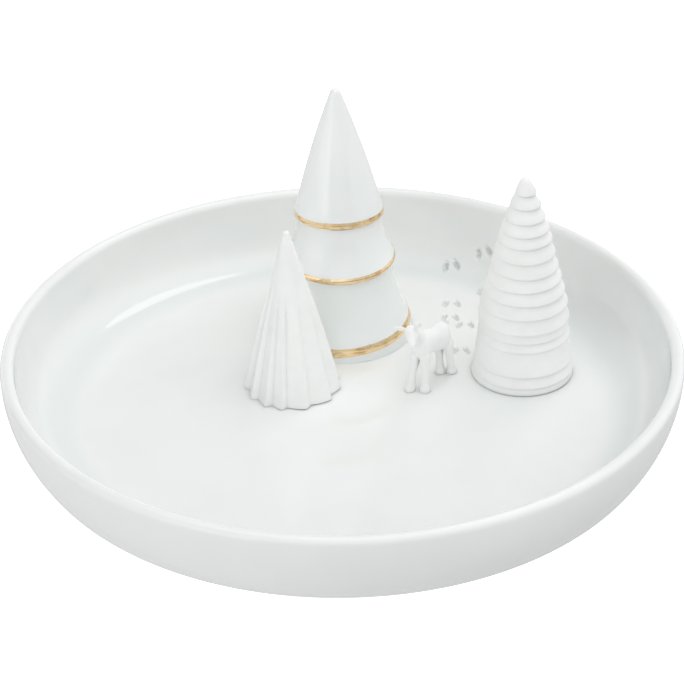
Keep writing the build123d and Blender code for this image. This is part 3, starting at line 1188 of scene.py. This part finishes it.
@dataclass
class TallTree:
    """Glazed tree of three flared tiers, hollow, with gold round each tier's lower edge."""

    finish: bpy.types.Material
    planting: Planting = Planting(0.2, 32.2, 0.9)
    height: float = 57.6
    wall: float = 2.3
    tip_radius: float = 1.3
    crown_deg: float = 86.0
    bead_step: float = 0.4
    bead_height: float = 0.7
    base_radius: float = 15.0
    base_edge_height: float = 2.2
    base_nose: float = 2.6
    base_bow: float = -0.8
    middle_neck: float = 10.55
    top_neck: float = 8.4
    neck_overrun: float = 2.0
    middle: Tier = Tier(13.6, 17.35, -1.0, 1.0)
    top: Tier = Tier(10.2, 28.0, 0.55, -6.0)
    # How far the glazed outside stays inside the solid, so that the lustre can lie over it
    lay: float = 0.03
    # A side stops this far below the edge over it, and starts so many noses above its own edge
    edge_gap: float = 0.15
    nose_share: float = 1.25
    # Over what heights above a side's own edge, and below the next one, that edge's tip fades out
    base_lead: Pair = (1.0, 6.0)
    middle_lead: Pair = (8.0, 8.0)
    top_lead: Pair = (16.0, 1.0)
    nose_rings: int = 8
    side_rings: int = 16
    top_rings: int = 34
    tip_rings: int = 8
    sides: int = 160
    crease_deg: float = 50.0

    @property
    def bead_radius(self) -> float:
        """Radius of the bead of slip round the foot."""
        return self.base_radius + self.bead_step

    def base_side(self) -> list[Point]:
        """Gives the base tier's outline with the bead of slip.

        Returns:
            Points from below the floor up to the neck.
        """
        neck = (self.middle_neck, self.middle.edge_height + self.neck_overrun)
        # A bowed side leaves its straight line at four times the bow over its length
        flare_deg = math.degrees(
            math.atan2(self.base_radius - neck[0], neck[1] - self.base_edge_height)
            - 4 * self.base_bow / neck[1]
        )
        centre = (self.base_radius - self.base_nose, self.base_edge_height)
        nose = arc(centre, self.base_nose, 0.0, flare_deg, self.nose_rings)
        bead = [(self.bead_radius, -OVERRUN), (self.bead_radius, 0.0)]
        foot = bead + [(self.base_radius, self.bead_height)]
        return foot + nose + bowed(nose[-1], neck, self.base_bow, self.side_rings)[1:]

    def middle_side(self) -> list[Point]:
        """Gives the middle tier's side up to its neck."""
        neck = (self.top_neck, self.top.edge_height + self.neck_overrun)
        return self.middle.side(neck, self.side_rings)

    def top_side(self) -> list[Point]:
        """Gives the top tier's side up to the start of its round tip."""
        return self.top.side((self.tip_radius, self.height - self.tip_radius), self.top_rings)

    def tipped(self, side: Sequence[Point], start: float, end: float, tips: Pair, lead: Pair) -> list[Ring]:
        """Gives rings up a side, whose tip goes over from one tier's edge to the next one's.

        Args:
            side: the side's points.
            start: height of the edge below.
            end: height of the edge above.
            tips: tip in degrees at the start and at the end.
            lead: over what heights above the start, and below the end, that tip fades out.

        Returns:
            Rings in order from below.
        """
        rings = []
        for i, (radius, height) in enumerate(side):
            if start < height < end:
                low = max(0.0, 1 - (height - start) / lead[0]) * tips[0]
                high = max(0.0, 1 - (end - height) / lead[1]) * tips[1]
                rings.append(Ring(radius - self.lay, height, low + high, 0.0, slope_at(side, i)))
        return rings

    def outside(self) -> list[Ring]:
        """Gives all the rings of the glazed outside.

        Returns:
            Rings from below the floor to the tip.
        """
        base, middle, top = self.base_side(), self.middle_side(), self.top_side()
        low, high = self.middle, self.top
        below_low, below_high = low.edge_height - self.edge_gap, high.edge_height - self.edge_gap
        above_low = low.edge_height + self.nose_share * low.nose
        above_high = high.edge_height + self.nose_share * high.nose
        rings = self.tipped(base, -2 * OVERRUN, below_low, (0.0, low.tip_deg), self.base_lead)
        rings += low.edge(middle, radius_at(base, low.edge_height) - self.lay)
        tips = (low.tip_deg, high.tip_deg)
        rings += self.tipped(middle, above_low, below_high, tips, self.middle_lead)
        rings += high.edge(top, radius_at(middle, high.edge_height) - self.lay)
        rings += self.tipped(top, above_high, self.height, (high.tip_deg, 0.0), self.top_lead)
        last = top[-1]
        shoulder = math.degrees(math.atan2(top[-2][0] - last[0], last[1] - top[-2][1]))
        round_radius = self.tip_radius - self.lay
        tip = arc((0.0, last[1]), round_radius, shoulder, self.crown_deg, self.tip_rings)
        return rings + [Ring(radius, height) for radius, height in tip[1:]]

    def build(self) -> bpy.types.Object:
        """Makes the glazed tree.

        Returns:
            The dressed piece.
        """
        piece = ring_form("tall_tree_casting", self.outside(), self.sides)
        necks = (
            (self.base_radius, 0.0),
            (self.middle_neck, self.middle.edge_height),
            (self.top_neck, self.top.edge_height),
        )
        tip = (self.tip_radius, self.height - self.tip_radius)
        self.planting.plant(piece, hollow_rings(self.wall, tip, necks), self.sides)
        smooth(piece, self.crease_deg)
        return dress(piece, self.finish, "tall_tree")


@dataclass
class LustreBand:
    """A band of gold lustre brushed round a tier's edge, laid on the finished tree."""

    place: str
    rings: list[Ring]
    seed: int
    skin: float = 0.1
    lift: float = 0.025
    # The brush wavers by so much at most, so many times, and each time over such a reach
    waver: float = 0.1
    wavers: int = 14
    waver_reach: float = 2.6
    # How much of the waver goes up, as a share of what goes down
    up_share: float = 0.3
    spot_radius: float = 0.5
    sides: int = 160
    crease_deg: float = 50.0

    def build(
        self, tree: TallTree, casting: bpy.types.Object, finish: bpy.types.Material
    ) -> bpy.types.Object:
        """Makes the band.

        Args:
            tree: the tree whose edge it follows.
            casting: the tree's piece, which it is laid on.
            finish: the lustre.

        Returns:
            The dressed piece.
        """
        piece = ring_form(f"lustre_band_{self.place}", self.rings, self.sides)
        chance = random.Random(self.seed)
        for _ in range(self.wavers):
            angle = chance.uniform(0, math.tau)
            push = chance.uniform(-self.waver, self.up_share * self.waver)
            spot = self.rings[-1].spot(angle)
            if select(piece, Part.VERTICES, lambda place, _: (place - spot).length < self.spot_radius):
                pull(Vector((0.0, 0.0, push)), self.waver_reach, connected=True)
        tree.planting.put(piece)
        apply_modifier(
            piece,
            "SHRINKWRAP",
            target=casting,
            wrap_method="NEAREST_SURFACEPOINT",
            wrap_mode="OUTSIDE_SURFACE",
            offset=self.lift * MM,
        )
        edit(piece)
        face_outwards()
        apply_modifier(piece, "SOLIDIFY", thickness=self.skin * MM, offset=-1.0)
        edit(piece)
        face_outwards()
        smooth(piece, self.crease_deg)
        return dress(piece, finish, f"gold_band_{self.place}")


@dataclass
class Lustre:
    """The tall tree's gold: a broad band round its foot and a fine one on each edge above it."""

    tree: TallTree
    finish: bpy.types.Material
    base_edge: float = 1.75
    base_width: float = 2.0
    base_tip_deg: float = 2.0
    # Roll at the band's lower edge, and how much less there is at its upper one
    base_roll_deg: float = -2.5
    base_roll_gain_deg: float = 1.1
    base_steps: int = 10
    # How far above and below a height the base tier's slope is read
    slope_reach: float = 0.3
    # Radius at which a fine band starts under its edge, and how far it rises up the side
    middle_reach: Pair = (11.3, 1.45)
    top_reach: Pair = (8.9, 1.6)
    edge_steps: int = 3
    # Seeds of the brush's wavers, for the bands from below
    seeds: tuple[int, ...] = (3, 5, 8)

    def base_rings(self) -> list[Ring]:
        """Gives the rings of the band round the foot.

        Returns:
            Rings from below.
        """
        side = self.tree.base_side()
        rings = []
        for i in range(self.base_steps + 1):
            share = i / self.base_steps
            height = self.base_edge + self.base_width * share
            roll_deg = self.base_roll_deg + self.base_roll_gain_deg * share
            slope = slope_near(side, height, self.slope_reach)
            rings.append(Ring(radius_at(side, height), height, self.base_tip_deg, roll_deg, slope))
        return rings

    def edge_rings(self, tier: Tier, side: Sequence[Point], reach: Pair) -> list[Ring]:
        """Gives the rings of a fine band.

        Args:
            tier: the tier whose edge it follows.
            side: the tier's side.
            reach: radius at which it starts under the edge, and how far it rises up the side.

        Returns:
            Rings from under the edge, round its nose and up the side.
        """
        inner, top = reach
        rings = tier.edge(side, inner)
        last = rings[-1]
        for i in range(1, self.edge_steps + 1):
            rise = last.rise + (top - last.rise) * i / self.edge_steps
            rings.append(replace(last, radius=last.radius - last.slope * (rise - last.rise), rise=rise))
        return rings

    def build(self, casting: bpy.types.Object) -> None:
        """Lays the three bands on the tree's piece.

        Args:
            casting: the tree's piece.
        """
        tree = self.tree
        middle = self.edge_rings(tree.middle, tree.middle_side(), self.middle_reach)
        top = self.edge_rings(tree.top, tree.top_side(), self.top_reach)
        bands = (("base", self.base_rings()), ("middle", middle), ("top", top))
        for (place, rings), seed in zip(bands, self.seeds):
            LustreBand(place, rings, seed).build(tree, casting, self.finish)


# The pleated tree


@dataclass
class PleatedTree:
    """Hollow matt cone of folds, each a broad face and a narrow one that turns back in."""

    finish: bpy.types.Material
    behind: TallTree
    bearing_deg: float = 245.7
    gap: float = 0.3
    lean_deg: float = 0.9
    height: float = 37.1
    radius: float = 10.3
    wall: float = 2.0
    pleat_depth: float = 1.2
    belly: float = 0.3
    tip_radius: float = 0.75
    # Where the folds' valleys lie, in turns from the front
    valleys: tuple[float, ...] = (
        -0.143, -0.076, -0.019, 0.070, 0.171, 0.247, 0.323, 0.400, 0.477, 0.553, 0.630, 0.706, 0.782,
    )
    # The narrow face's share of a fold, and how much each fold's ridge and valley are rounded
    narrow: float = 0.26
    rounding: float = 0.06
    # Shares of the height between which the pleats run out into the smooth top
    pleats_fade: Pair = (0.5, 0.8)
    undercut: Pair = (0.3, 0.18)
    fold_steps: int = 20
    rings_up: int = 34
    crown_start_deg: float = 15.0
    crown_rings: int = 5
    crease_deg: float = 18.0

    @property
    def planting(self) -> Planting:
        """The place close before the tall tree.

        Returns:
            The place, in a direction from the tall tree and a gap from its bead.
        """
        away = self.behind.bead_radius + self.gap + self.radius
        bearing = math.radians(self.bearing_deg)
        place = self.behind.planting
        return Planting(
            place.x + away * math.cos(bearing), place.y + away * math.sin(bearing), self.lean_deg
        )

    def pleat_left(self, share: float) -> float:
        """Gives how much of the pleats is left at a height.

        Args:
            share: the height as a share of the tree's.

        Returns:
            The share of the pleats' depth that is left.
        """
        start, end = self.pleats_fade
        gone = min(max((share - start) / (end - start), 0.0), 1.0)
        return 1 - gone * gone * (3 - 2 * gone)

    def outline(self) -> list[Vector]:
        """Gives the pleats' outline at the foot.

        Returns:
            Points in metres. The last is the first one again.
        """
        turns = [*self.valleys, self.valleys[0] + 1]
        points = []
        for first, second in zip(turns, turns[1:]):
            for i in range(self.fold_steps):
                share = i / self.fold_steps
                climb = min(share / (1 - self.narrow), (1 - share) / self.narrow)
                # A fold's line is eased at its valley and at its ridge
                if climb < self.rounding:
                    climb = (climb * climb + self.rounding**2) / (2 * self.rounding)
                elif climb > 1 - self.rounding:
                    climb -= (climb - 1 + self.rounding) ** 2 / (2 * self.rounding)
                radius = self.radius - self.pleat_depth * (1 - climb)
                angle = math.tau * (first + (second - first) * share) - math.pi / 2
                points.append(Vector((radius * math.cos(angle), radius * math.sin(angle), 0)) * MM)
        return points + [points[0]]

    def rings(self) -> list[Ring]:
        """Gives the rings that the outline is carried up through.

        Returns:
            Rings from below the floor to the tip.
        """
        tip_height = self.height - self.tip_radius
        rings = foot_rings(self.radius, self.undercut)
        for i in range(1, self.rings_up + 1):
            share = i / self.rings_up
            swell = self.belly * 4 * share * (1 - share)
            radius = self.radius + (self.tip_radius - self.radius) * share + swell
            rings.append(Ring(radius, tip_height * share))
        tip = (0.0, tip_height)
        crown = arc(tip, self.tip_radius, self.crown_start_deg, CROWN_DEG, self.crown_rings)
        return rings + [Ring(radius, height) for radius, height in crown]

    def build(self) -> bpy.types.Object:
        """Makes the tree.

        Returns:
            The dressed piece.
        """
        rings, outline = self.rings(), self.outline()
        start = outline[0] + Vector((0.0, 0.0, rings[0].height * MM))
        piece = begin("pleated_tree_casting", bpy.ops.mesh.primitive_plane_add, size=MM, location=start)
        bpy.ops.mesh.merge(type="CENTER")
        for here, there in zip(outline, outline[1:]):
            bpy.ops.mesh.extrude_vertices_move(TRANSFORM_OT_translate={"value": there - here})
        bpy.ops.mesh.select_all(action="SELECT")
        bpy.ops.mesh.remove_doubles(threshold=MERGE * MM)
        share = rings[0].radius / self.radius
        bpy.ops.transform.resize(value=(share, share, 1), center_override=(0.0, 0.0, 0.0))
        tip_height = self.height - self.tip_radius
        left = 1.0
        for before, after in zip(rings, rings[1:]):
            raise_rings((before, after))
            still = self.pleat_left(after.height / tip_height)
            if still < left:
                bpy.ops.transform.tosphere(value=1 - still / left, center_override=after.centre)
            left = still
        necks = ((self.radius - self.pleat_depth, 0.0),)
        hollow = hollow_rings(self.wall, (self.tip_radius, tip_height), necks)
        self.planting.plant(piece, hollow, len(outline) - 1)
        smooth(piece, self.crease_deg)
        return dress(piece, self.finish, "pleated_tree")


# The ribbed tree


@dataclass
class RibbedTree:
    """Hollow matt tree of shingle-like ribs, each lip a little proud of the rib below."""

    finish: bpy.types.Material
    planting: Planting = Planting(38.1, 13.3, 0.4)
    height: float = 46.0
    radius: float = 10.8
    wall: float = 2.0
    tip_radius: float = 1.25
    step: float = 0.26
    # How far the lips lie off the tree's middle: they fade at its left and stand out at its right
    lip_shift: Pair = (0.22, -0.1)
    # A lip's section, from its root outwards and up: both as shares of the step
    lip_shares: tuple[Pair, ...] = (
        (0.0, 0.25), (0.4, 0.02), (0.72, 0.0), (0.92, 0.3), (1.0, 0.85), (0.97, 1.7),
    )
    # Places of the rings between two lips as shares of the way, and how hollow the rib is there
    between_shares: Pair = (0.35, 0.7)
    hollow: float = 0.04
    undercut: Pair = (0.3, 0.18)
    # Lower lips of the ribs: height as a share of the tree's, radius as a share of its foot's
    lips: tuple[Pair, ...] = (
        (0.035, 0.985), (0.091, 0.950), (0.211, 0.895), (0.254, 0.868), (0.302, 0.880),
        (0.372, 0.845), (0.437, 0.785), (0.500, 0.715), (0.561, 0.648), (0.628, 0.588),
        (0.696, 0.520), (0.748, 0.460), (0.804, 0.385), (0.867, 0.300), (0.926, 0.205),
    )
    waist: int = 4
    waver_deg: float = 0.7
    seed: int = 11
    sides: int = 144
    crown_start_deg: float = 26.0
    crown_rings: int = 6
    crease_deg: float = 60.0

    def rings(self) -> list[Ring]:
        """Gives the outside's rings: each lip rounded, each rib slightly hollow and unlevel.

        Returns:
            Rings from below the floor to the tip.
        """
        chance = random.Random(self.seed)
        rings = foot_rings(self.radius, self.undercut)
        for height_share, radius_share in self.lips:
            height, inner = self.height * height_share, self.radius * radius_share - self.step
            tip = chance.uniform(-self.waver_deg, self.waver_deg)
            roll = chance.uniform(-self.waver_deg, self.waver_deg)
            below = rings[-1]
            for share in self.between_shares:
                rings.append(
                    Ring(
                        below.radius + (inner - below.radius) * share - self.hollow,
                        below.height + (height - below.height) * share,
                        below.tip_deg + (tip - below.tip_deg) * share,
                        below.roll_deg + (roll - below.roll_deg) * share,
                    )
                )
            for out, up in self.lip_shares:
                shift = (self.lip_shift[0] * out, self.lip_shift[1] * out)
                radius = inner + self.step * out
                rings.append(Ring(radius, height + self.step * up, tip, roll, shift=shift))
        tip = (0.0, self.height - self.tip_radius)
        crown = arc(tip, self.tip_radius, self.crown_start_deg, CROWN_DEG, self.crown_rings)
        return rings + [Ring(radius, height) for radius, height in crown]

    def build(self) -> bpy.types.Object:
        """Makes the tree.

        Returns:
            The dressed piece.
        """
        piece = ring_form("ribbed_tree_casting", self.rings(), self.sides)
        height_share, radius_share = self.lips[self.waist - 1]
        narrow = self.radius * radius_share
        necks = ((narrow, 0.0), (narrow, self.height * height_share))
        tip = (self.tip_radius, self.height - self.tip_radius)
        self.planting.plant(piece, hollow_rings(self.wall, tip, necks), self.sides)
        smooth(piece, self.crease_deg)
        return dress(piece, self.finish, "ribbed_tree")


# The deer


@dataclass(frozen=True)
class Limb:
    """A tapered limb of oval rings between two places, in the deer's own frame.

    The girths are pairs: a share of the length, and the girth there as a share of the limb's
    depth and width.
    """

    start: Place
    end: Place
    depth: float
    width: float
    girths: tuple[Pair, ...]
    steps: int = 24
    sides: int = 32

    def girth(self, share: float) -> float:
        """Reads the table of girths as a smooth curve.

        Args:
            share: the share of the length.

        Returns:
            The girth as a share of the depth and width.
        """
        table = self.girths
        i = max((k for k in range(len(table) - 1) if table[k][0] <= share), default=0)
        before, after = table[max(i - 1, 0)][1], table[min(i + 2, len(table) - 1)][1]
        low, high = table[i][1], table[i + 1][1]
        t = (share - table[i][0]) / (table[i + 1][0] - table[i][0])
        return 0.5 * (
            2 * low
            + (high - before) * t
            + (2 * before - 5 * low + 4 * high - after) * t**2
            + (3 * low - before - 3 * high + after) * t**3
        )

    def build(self, name: str, group: Matrix) -> bpy.types.Object:
        """Makes the limb as a closed tube.

        Args:
            name: the tube's name.
            group: place of the group that the limb belongs to, in millimetres.

        Returns:
            The tube, in the deer's frame.
        """
        run = Vector(self.end) - Vector(self.start)
        first, last = self.girths[0][0], self.girths[-1][0]
        rings = []
        for i in range(self.steps + 1):
            share = first + (last - first) * i / self.steps
            rings.append(Ring(self.depth / 2 * self.girth(share), run.length * share))
        piece = ring_form(name, rings, self.sides)
        close_ends()
        rest(piece)
        across = Vector((run.z, 0, -run.x)).normalized()
        axis = run.normalized()
        turn = Matrix((across, axis.cross(across), axis)).transposed().to_4x4()
        place = group @ Matrix.Translation(Vector(self.start)) @ turn
        place.translation *= MM
        piece.matrix_world = place @ Matrix.Diagonal((1, self.width / self.depth, 1, 1))
        rest(piece)
        return piece


@dataclass
class Deer:
    """Small matt deer in mid stride, its head turned a little, with broad ears and short tail."""

    finish: bpy.types.Material
    x: float = 18.85
    y: float = 9.3
    floor: float = 4.6
    heading_deg: float = 229.0
    wheelbase: float = 9.5
    stride: float = 0.85
    front_track: float = 2.7
    hind_track: float = 1.8
    hip_reach: float = 3.5
    hip_side: float = 1.15
    hip_height: float = 9.8
    leg_depth: float = 2.7
    leg_width: float = 2.4
    leg_girths: tuple[Pair, ...] = (
        (-0.1, 0.98), (0.05, 0.92), (0.17, 0.68), (0.42, 0.66), (0.66, 0.84), (0.86, 1.0), (1.0, 0.6),
    )
    trunk: Limb = Limb(
        (-4.9, 0.0, 9.8), (5.5, 0.0, 10.8), 6.3, 4.6,
        ((0, 0.3), (0.05, 0.7), (0.18, 1.0), (0.5, 0.86), (0.8, 0.98), (0.94, 0.72), (1, 0.3)),
    )
    # The head sits at the neck's end
    neck: Limb = Limb(
        (3.1, 0.0, 11.0), (6.6, 0.0, 15.0), 4.3, 3.2, ((0, 1.0), (0.4, 0.86), (1, 0.62))
    )
    tail: Limb = Limb(
        (-4.5, 0.0, 10.9), (-5.1, 0.0, 13.3), 1.1, 1.1, ((0, 0.7), (0.4, 1.0), (0.8, 0.74), (1, 0.25))
    )
    head_turn_deg: float = 28.0
    head_pitch_deg: float = 34.0
    head_tilt_deg: float = 18.0
    head_length: float = 5.2
    head_width: float = 3.1
    # Share of the head that lies behind the place where the neck meets it
    head_back_share: float = 0.3
    head_girths: tuple[Pair, ...] = (
        (0, 0.35), (0.07, 0.76), (0.3, 1.0), (0.55, 0.78), (0.8, 0.52), (0.94, 0.44), (1, 0.24),
    )
    ear_length: float = 2.9
    ear_lift_deg: float = 44.0
    ear_depth: float = 0.8
    ear_width: float = 1.4
    ear_girths: tuple[Pair, ...] = ((0, 0.5), (0.2, 0.72), (0.55, 1.0), (0.85, 0.62), (1, 0.18))
    # The left eye's place in the head's frame, and the hollow that is pressed there
    eye_place: Place = (0.55, 1.36, 0.35)
    eye_radius: float = 0.3
    eye_depth: float = 0.14
    eye_reach: float = 0.5
    # The skin that runs the limbs together: its grain, and how it is sponged smooth after
    grain: float = 0.13
    sponging: float = 0.5
    sponge_passes: int = 5
    crease_deg: float = 60.0

    def head_frame(self) -> Matrix:
        """Gives the head's place in the deer's frame."""
        return (
            Matrix.Translation(Vector(self.neck.end))
            @ Matrix.Rotation(math.radians(self.head_turn_deg), 4, "Z")
            @ Matrix.Rotation(math.radians(self.head_tilt_deg), 4, "X")
            @ Matrix.Rotation(math.radians(self.head_pitch_deg), 4, "Y")
        )

    def limbs(self) -> Iterable[tuple[str, Matrix, Limb]]:
        """Lays out the limbs on the trunk and the head.

        Returns:
            Each limb's name, its group's place and the limb.
        """
        own = Matrix.Identity(4)
        for name, limb in (("trunk", self.trunk), ("neck", self.neck), ("tail", self.tail)):
            yield name, own, limb
        for end, track, part in ((1, self.front_track, "fore"), (-1, self.hind_track, "hind")):
            for side in Side:
                foot = (end * self.wheelbase / 2 - side.value * self.stride, side.value * track / 2, 0)
                hip = (end * self.hip_reach, side.value * self.hip_side, self.hip_height)
                name = f"{part}_leg_{side.name.lower()}"
                yield name, own, Limb(foot, hip, self.leg_depth, self.leg_width, self.leg_girths)
        head = self.head_frame()
        back = self.head_length * self.head_back_share
        crown, nose = (-back, 0, 0), (self.head_length - back, 0, 0)
        yield "skull", head, Limb(crown, nose, self.head_width, self.head_width, self.head_girths)
        # The ears' roots lie half way out and half way up inside the head
        root = self.head_width / 4
        lift = math.radians(self.ear_lift_deg)
        for side in Side:
            start = (-root / 2, side.value * root, root)
            tip = (
                start[0],
                side.value * (root + self.ear_length * math.cos(lift)),
                root + self.ear_length * math.sin(lift),
            )
            name = f"ear_{side.name.lower()}"
            yield name, head, Limb(start, tip, self.ear_depth, self.ear_width, self.ear_girths)

    def build(self) -> bpy.types.Object:
        """Makes the deer: limbs run together like wet clay, then the face is pressed in.

        Returns:
            The dressed piece.
        """
        piece = join([limb.build(f"deer_{name}", group) for name, group, limb in self.limbs()])
        piece.name = piece.data.name = "deer_casting"
        apply_modifier(piece, "REMESH", mode="VOXEL", voxel_size=self.grain * MM)
        apply_modifier(piece, "SMOOTH", factor=self.sponging, iterations=self.sponge_passes)
        head = self.head_frame()
        edit(piece)
        ahead, aside, up = self.eye_place
        for side in Side:
            eye = head @ Vector((ahead, side.value * aside, up))
            inward = head.to_3x3() @ Vector((0, -side.value, 0))
            if select(piece, Part.VERTICES, lambda place, _: (place - eye).length < self.eye_radius):
                pull(inward * self.eye_depth, self.eye_reach)
        set_down(piece, (self.x, self.y, self.floor), 2, self.heading_deg)
        trim_below(piece, self.floor, True)
        face_outwards()
        smooth(piece, self.crease_deg)
        return dress(piece, self.finish, "deer")


# Studio


@dataclass(frozen=True)
class LightRow:
    """One row of the room: its elevation, and its light by azimuth, 0 towards the camera."""

    elevation_deg: float
    panels: tuple[Pair, ...]


def softbox_row(gap: float) -> tuple[Pair, ...]:
    """Gives the light near the horizon: a softbox of two panels, and a gap right of it.

    Args:
        gap: the light in the gap.

    Returns:
        Azimuths with their light.
    """
    return (
        (-180.0, 1.15), (-132.0, 1.2), (-126.0, 0.1), (-100.0, 0.1), (-94.0, 1.2), (-58.0, 1.5),
        (-53.0, 1.9), (-51.0, 0.8), (-49.0, 1.9), (-30.0, 1.8), (-26.0, gap), (38.0, gap),
        (44.0, 0.7), (75.0, 0.8), (115.0, 1.0), (150.0, 1.1),
    )


@dataclass
class Studio:
    """Pale sweep, soft lights and the camera, as the photograph has them."""

    camera_place: Place = (0.0, -462.17, 298.77)
    camera_pitch_deg: float = 58.919
    camera_roll_deg: float = -0.841
    lens: float = 138.44
    sensor: float = 36.0
    clip_start: float = 10.0
    clip_end: float = 20000.0
    sweep_size: float = 6000.0
    strip_place: Place = (236.0, 444.0, 746.0)
    strip_aim: Place = (0.0, 0.0, 20.0)
    strip_size: float = 280.0
    strip_watts: float = 0.4
    # Lit paper below, a softbox left of the camera, a dark gap behind it and light from above
    room: tuple[LightRow, ...] = (
        LightRow(-52.0, ((-180.0, 0.65), (-90.0, 0.75), (0.0, 0.68), (90.0, 0.55))),
        LightRow(-5.0, ((-180.0, 0.8), (-100.0, 0.95), (-30.0, 0.85), (40.0, 0.65), (110.0, 0.7))),
        LightRow(-1.5, softbox_row(0.03)),
        LightRow(4.0, softbox_row(0.03)),
        LightRow(8.0, softbox_row(0.8)),
        LightRow(
            24.0,
            (
                (-180.0, 0.65), (-132.0, 0.5), (-124.0, 0.1), (-102.0, 0.1), (-94.0, 0.4), (-60.0, 1.1),
                (-30.0, 1.35), (0.0, 1.4), (30.0, 0.65), (60.0, 0.7), (95.0, 1.05), (135.0, 0.95),
            ),
        ),
        LightRow(
            50.0,
            ((-180.0, 0.6), (-110.0, 0.15), (-45.0, 0.3), (0.0, 0.85), (45.0, 1.15), (90.0, 1.35)),
        ),
        LightRow(90.0, ((-180.0, 2.08),)),
    )

    def camera(self) -> None:
        """Sets the camera at the photograph's viewing angle."""
        data = bpy.data.cameras.new("view")
        data.lens, data.sensor_width = self.lens, self.sensor
        data.clip_start, data.clip_end = self.clip_start * MM, self.clip_end * MM
        camera = bpy.data.objects.new("view", data)
        bpy.context.scene.collection.objects.link(camera)
        camera.location = Vector(self.camera_place) * MM
        camera.rotation_mode = "ZYX"
        turns = (self.camera_pitch_deg, 0.0, self.camera_roll_deg)
        camera.rotation_euler = [math.radians(turn) for turn in turns]
        bpy.context.scene.camera = camera

    def sweep(self) -> None:
        """Lays the pale floor."""
        floor = begin("sweep", bpy.ops.mesh.primitive_plane_add, size=self.sweep_size * MM)
        rest(floor)
        floor.data.materials.append(PaleSweep().material())
        # The dish gets its light from below by the room's lowest rows alone
        floor.visible_diffuse = floor.visible_glossy = floor.visible_shadow = False

    def strip(self) -> None:
        """Hangs the soft light behind the dish that its cove reflects as a bright streak."""
        data = bpy.data.lights.new("soft_strip", "AREA")
        data.shape, data.size, data.energy = "DISK", self.strip_size * MM, self.strip_watts
        light = bpy.data.objects.new("soft_strip", data)
        bpy.context.scene.collection.objects.link(light)
        light.location = Vector(self.strip_place) * MM
        aim = Vector(self.strip_aim) - Vector(self.strip_place)
        light.rotation_euler = aim.to_track_quat("-Z", "Y").to_euler()

    def surroundings(self) -> None:
        """Makes the room from its rows of light; the eye itself sees plain white behind the dish."""
        world = bpy.data.worlds.new("studio")
        bpy.context.scene.world = world
        world.use_nodes = True
        tree = world.node_tree
        tree.nodes.clear()
        way = add_node(tree, "TexCoord").outputs["Generated"]
        parts = add_node(tree, "SeparateXYZ", {0: way}).outputs
        behind = add_node(tree, "Math", {0: parts["Y"], 1: -1.0}, operation="MULTIPLY").outputs[0]
        around = add_node(tree, "Math", {0: parts["X"], 1: behind}, operation="ARCTAN2").outputs[0]
        full = {"Value": around, "From Min": -math.pi, "From Max": math.pi}
        turn = add_node(tree, "MapRange", full).outputs["Result"]
        height = add_node(tree, "Math", {0: parts["Z"]}, operation="ARCSINE").outputs[0]
        peak = max(light for row in self.room for _, light in row.panels)
        room = below = None
        for row in self.room:
            lit = self.ramp(tree, turn, row, peak)
            if room is None:
                room = lit
            else:
                low, high = math.radians(below.elevation_deg), math.radians(row.elevation_deg)
                span = {"Value": height, "From Min": low, "From Max": high}
                share = add_node(tree, "MapRange", span).outputs["Result"]
                room = add_node(tree, "Mix", {0: share, 6: room, 7: lit}, data_type="RGBA").outputs[2]
            below = row
        seen = add_node(tree, "LightPath").outputs["Is Camera Ray"]
        pick = {0: seen, 6: room, 7: linear("#FFFFFF")}
        strength = add_node(tree, "MapRange", {"Value": seen, "To Min": peak, "To Max": 1.0})
        shown = {
            "Color": add_node(tree, "Mix", pick, data_type="RGBA").outputs[2],
            "Strength": strength.outputs["Result"],
        }
        glow = add_node(tree, "Background", shown)
        add_node(tree, "OutputWorld", {"Surface": glow.outputs[0]})

    def ramp(
        self, tree: bpy.types.NodeTree, turn: bpy.types.NodeSocket, row: LightRow, peak: float
    ) -> bpy.types.NodeSocket:
        """Makes a row's light round the room.

        Args:
            tree: the world's node tree.
            turn: the azimuth as a share of a full turn.
            row: the row.
            peak: the room's brightest light, which the ramp gives as white.

        Returns:
            The row's colour.
        """
        node = add_node(tree, "ValToRGB", {"Fac": turn})
        stops = [(0.5 + azimuth / 360, light / peak) for azimuth, light in row.panels]
        stops.append((1.0, stops[0][1]))
        elements = node.color_ramp.elements
        while len(elements) < len(stops):
            elements.new(1.0)
        for element, (place, _) in zip(elements, stops):
            element.position = place
        for element, (_, light) in zip(elements, stops):
            element.color = (light, light, light, 1.0)
        return node.outputs["Color"]

    def build(self) -> None:
        """Sets up everything but the camera."""
        self.sweep()
        self.surroundings()
        self.strip()
        bpy.context.scene.view_settings.view_transform = "Standard"


def main() -> None:
    """Builds the camera, every piece and the studio in order."""
    logging.basicConfig(level=logging.INFO, format="%(name)s: %(message)s")
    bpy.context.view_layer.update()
    studio = Studio()
    studio.camera()
    dish_glaze = ClearGlaze("clear_glaze_dish", pool_radius=59.0, pool_width=7.0).material()
    # The tree's glaze gets a paler painted shade in its recesses than the dish's
    tree_glaze = ClearGlaze("clear_glaze_tree", body="#F4F7F6", painted_shade="#EBEEED", ripple=6.0).material()
    bisque = MattBisque().material()
    tall = TallTree(tree_glaze)
    gold = GoldLustre((tall.planting.x, tall.planting.y)).material()
    pleated, ribbed = PleatedTree(bisque, tall), RibbedTree(bisque)
    Dish(dish_glaze, (tall.planting, pleated.planting, ribbed.planting)).build()
    Lustre(tall, gold).build(tall.build())
    pleated.build()
    ribbed.build()
    Deer(bisque).build()
    studio.build()


if __name__ == "__main__":
    main()
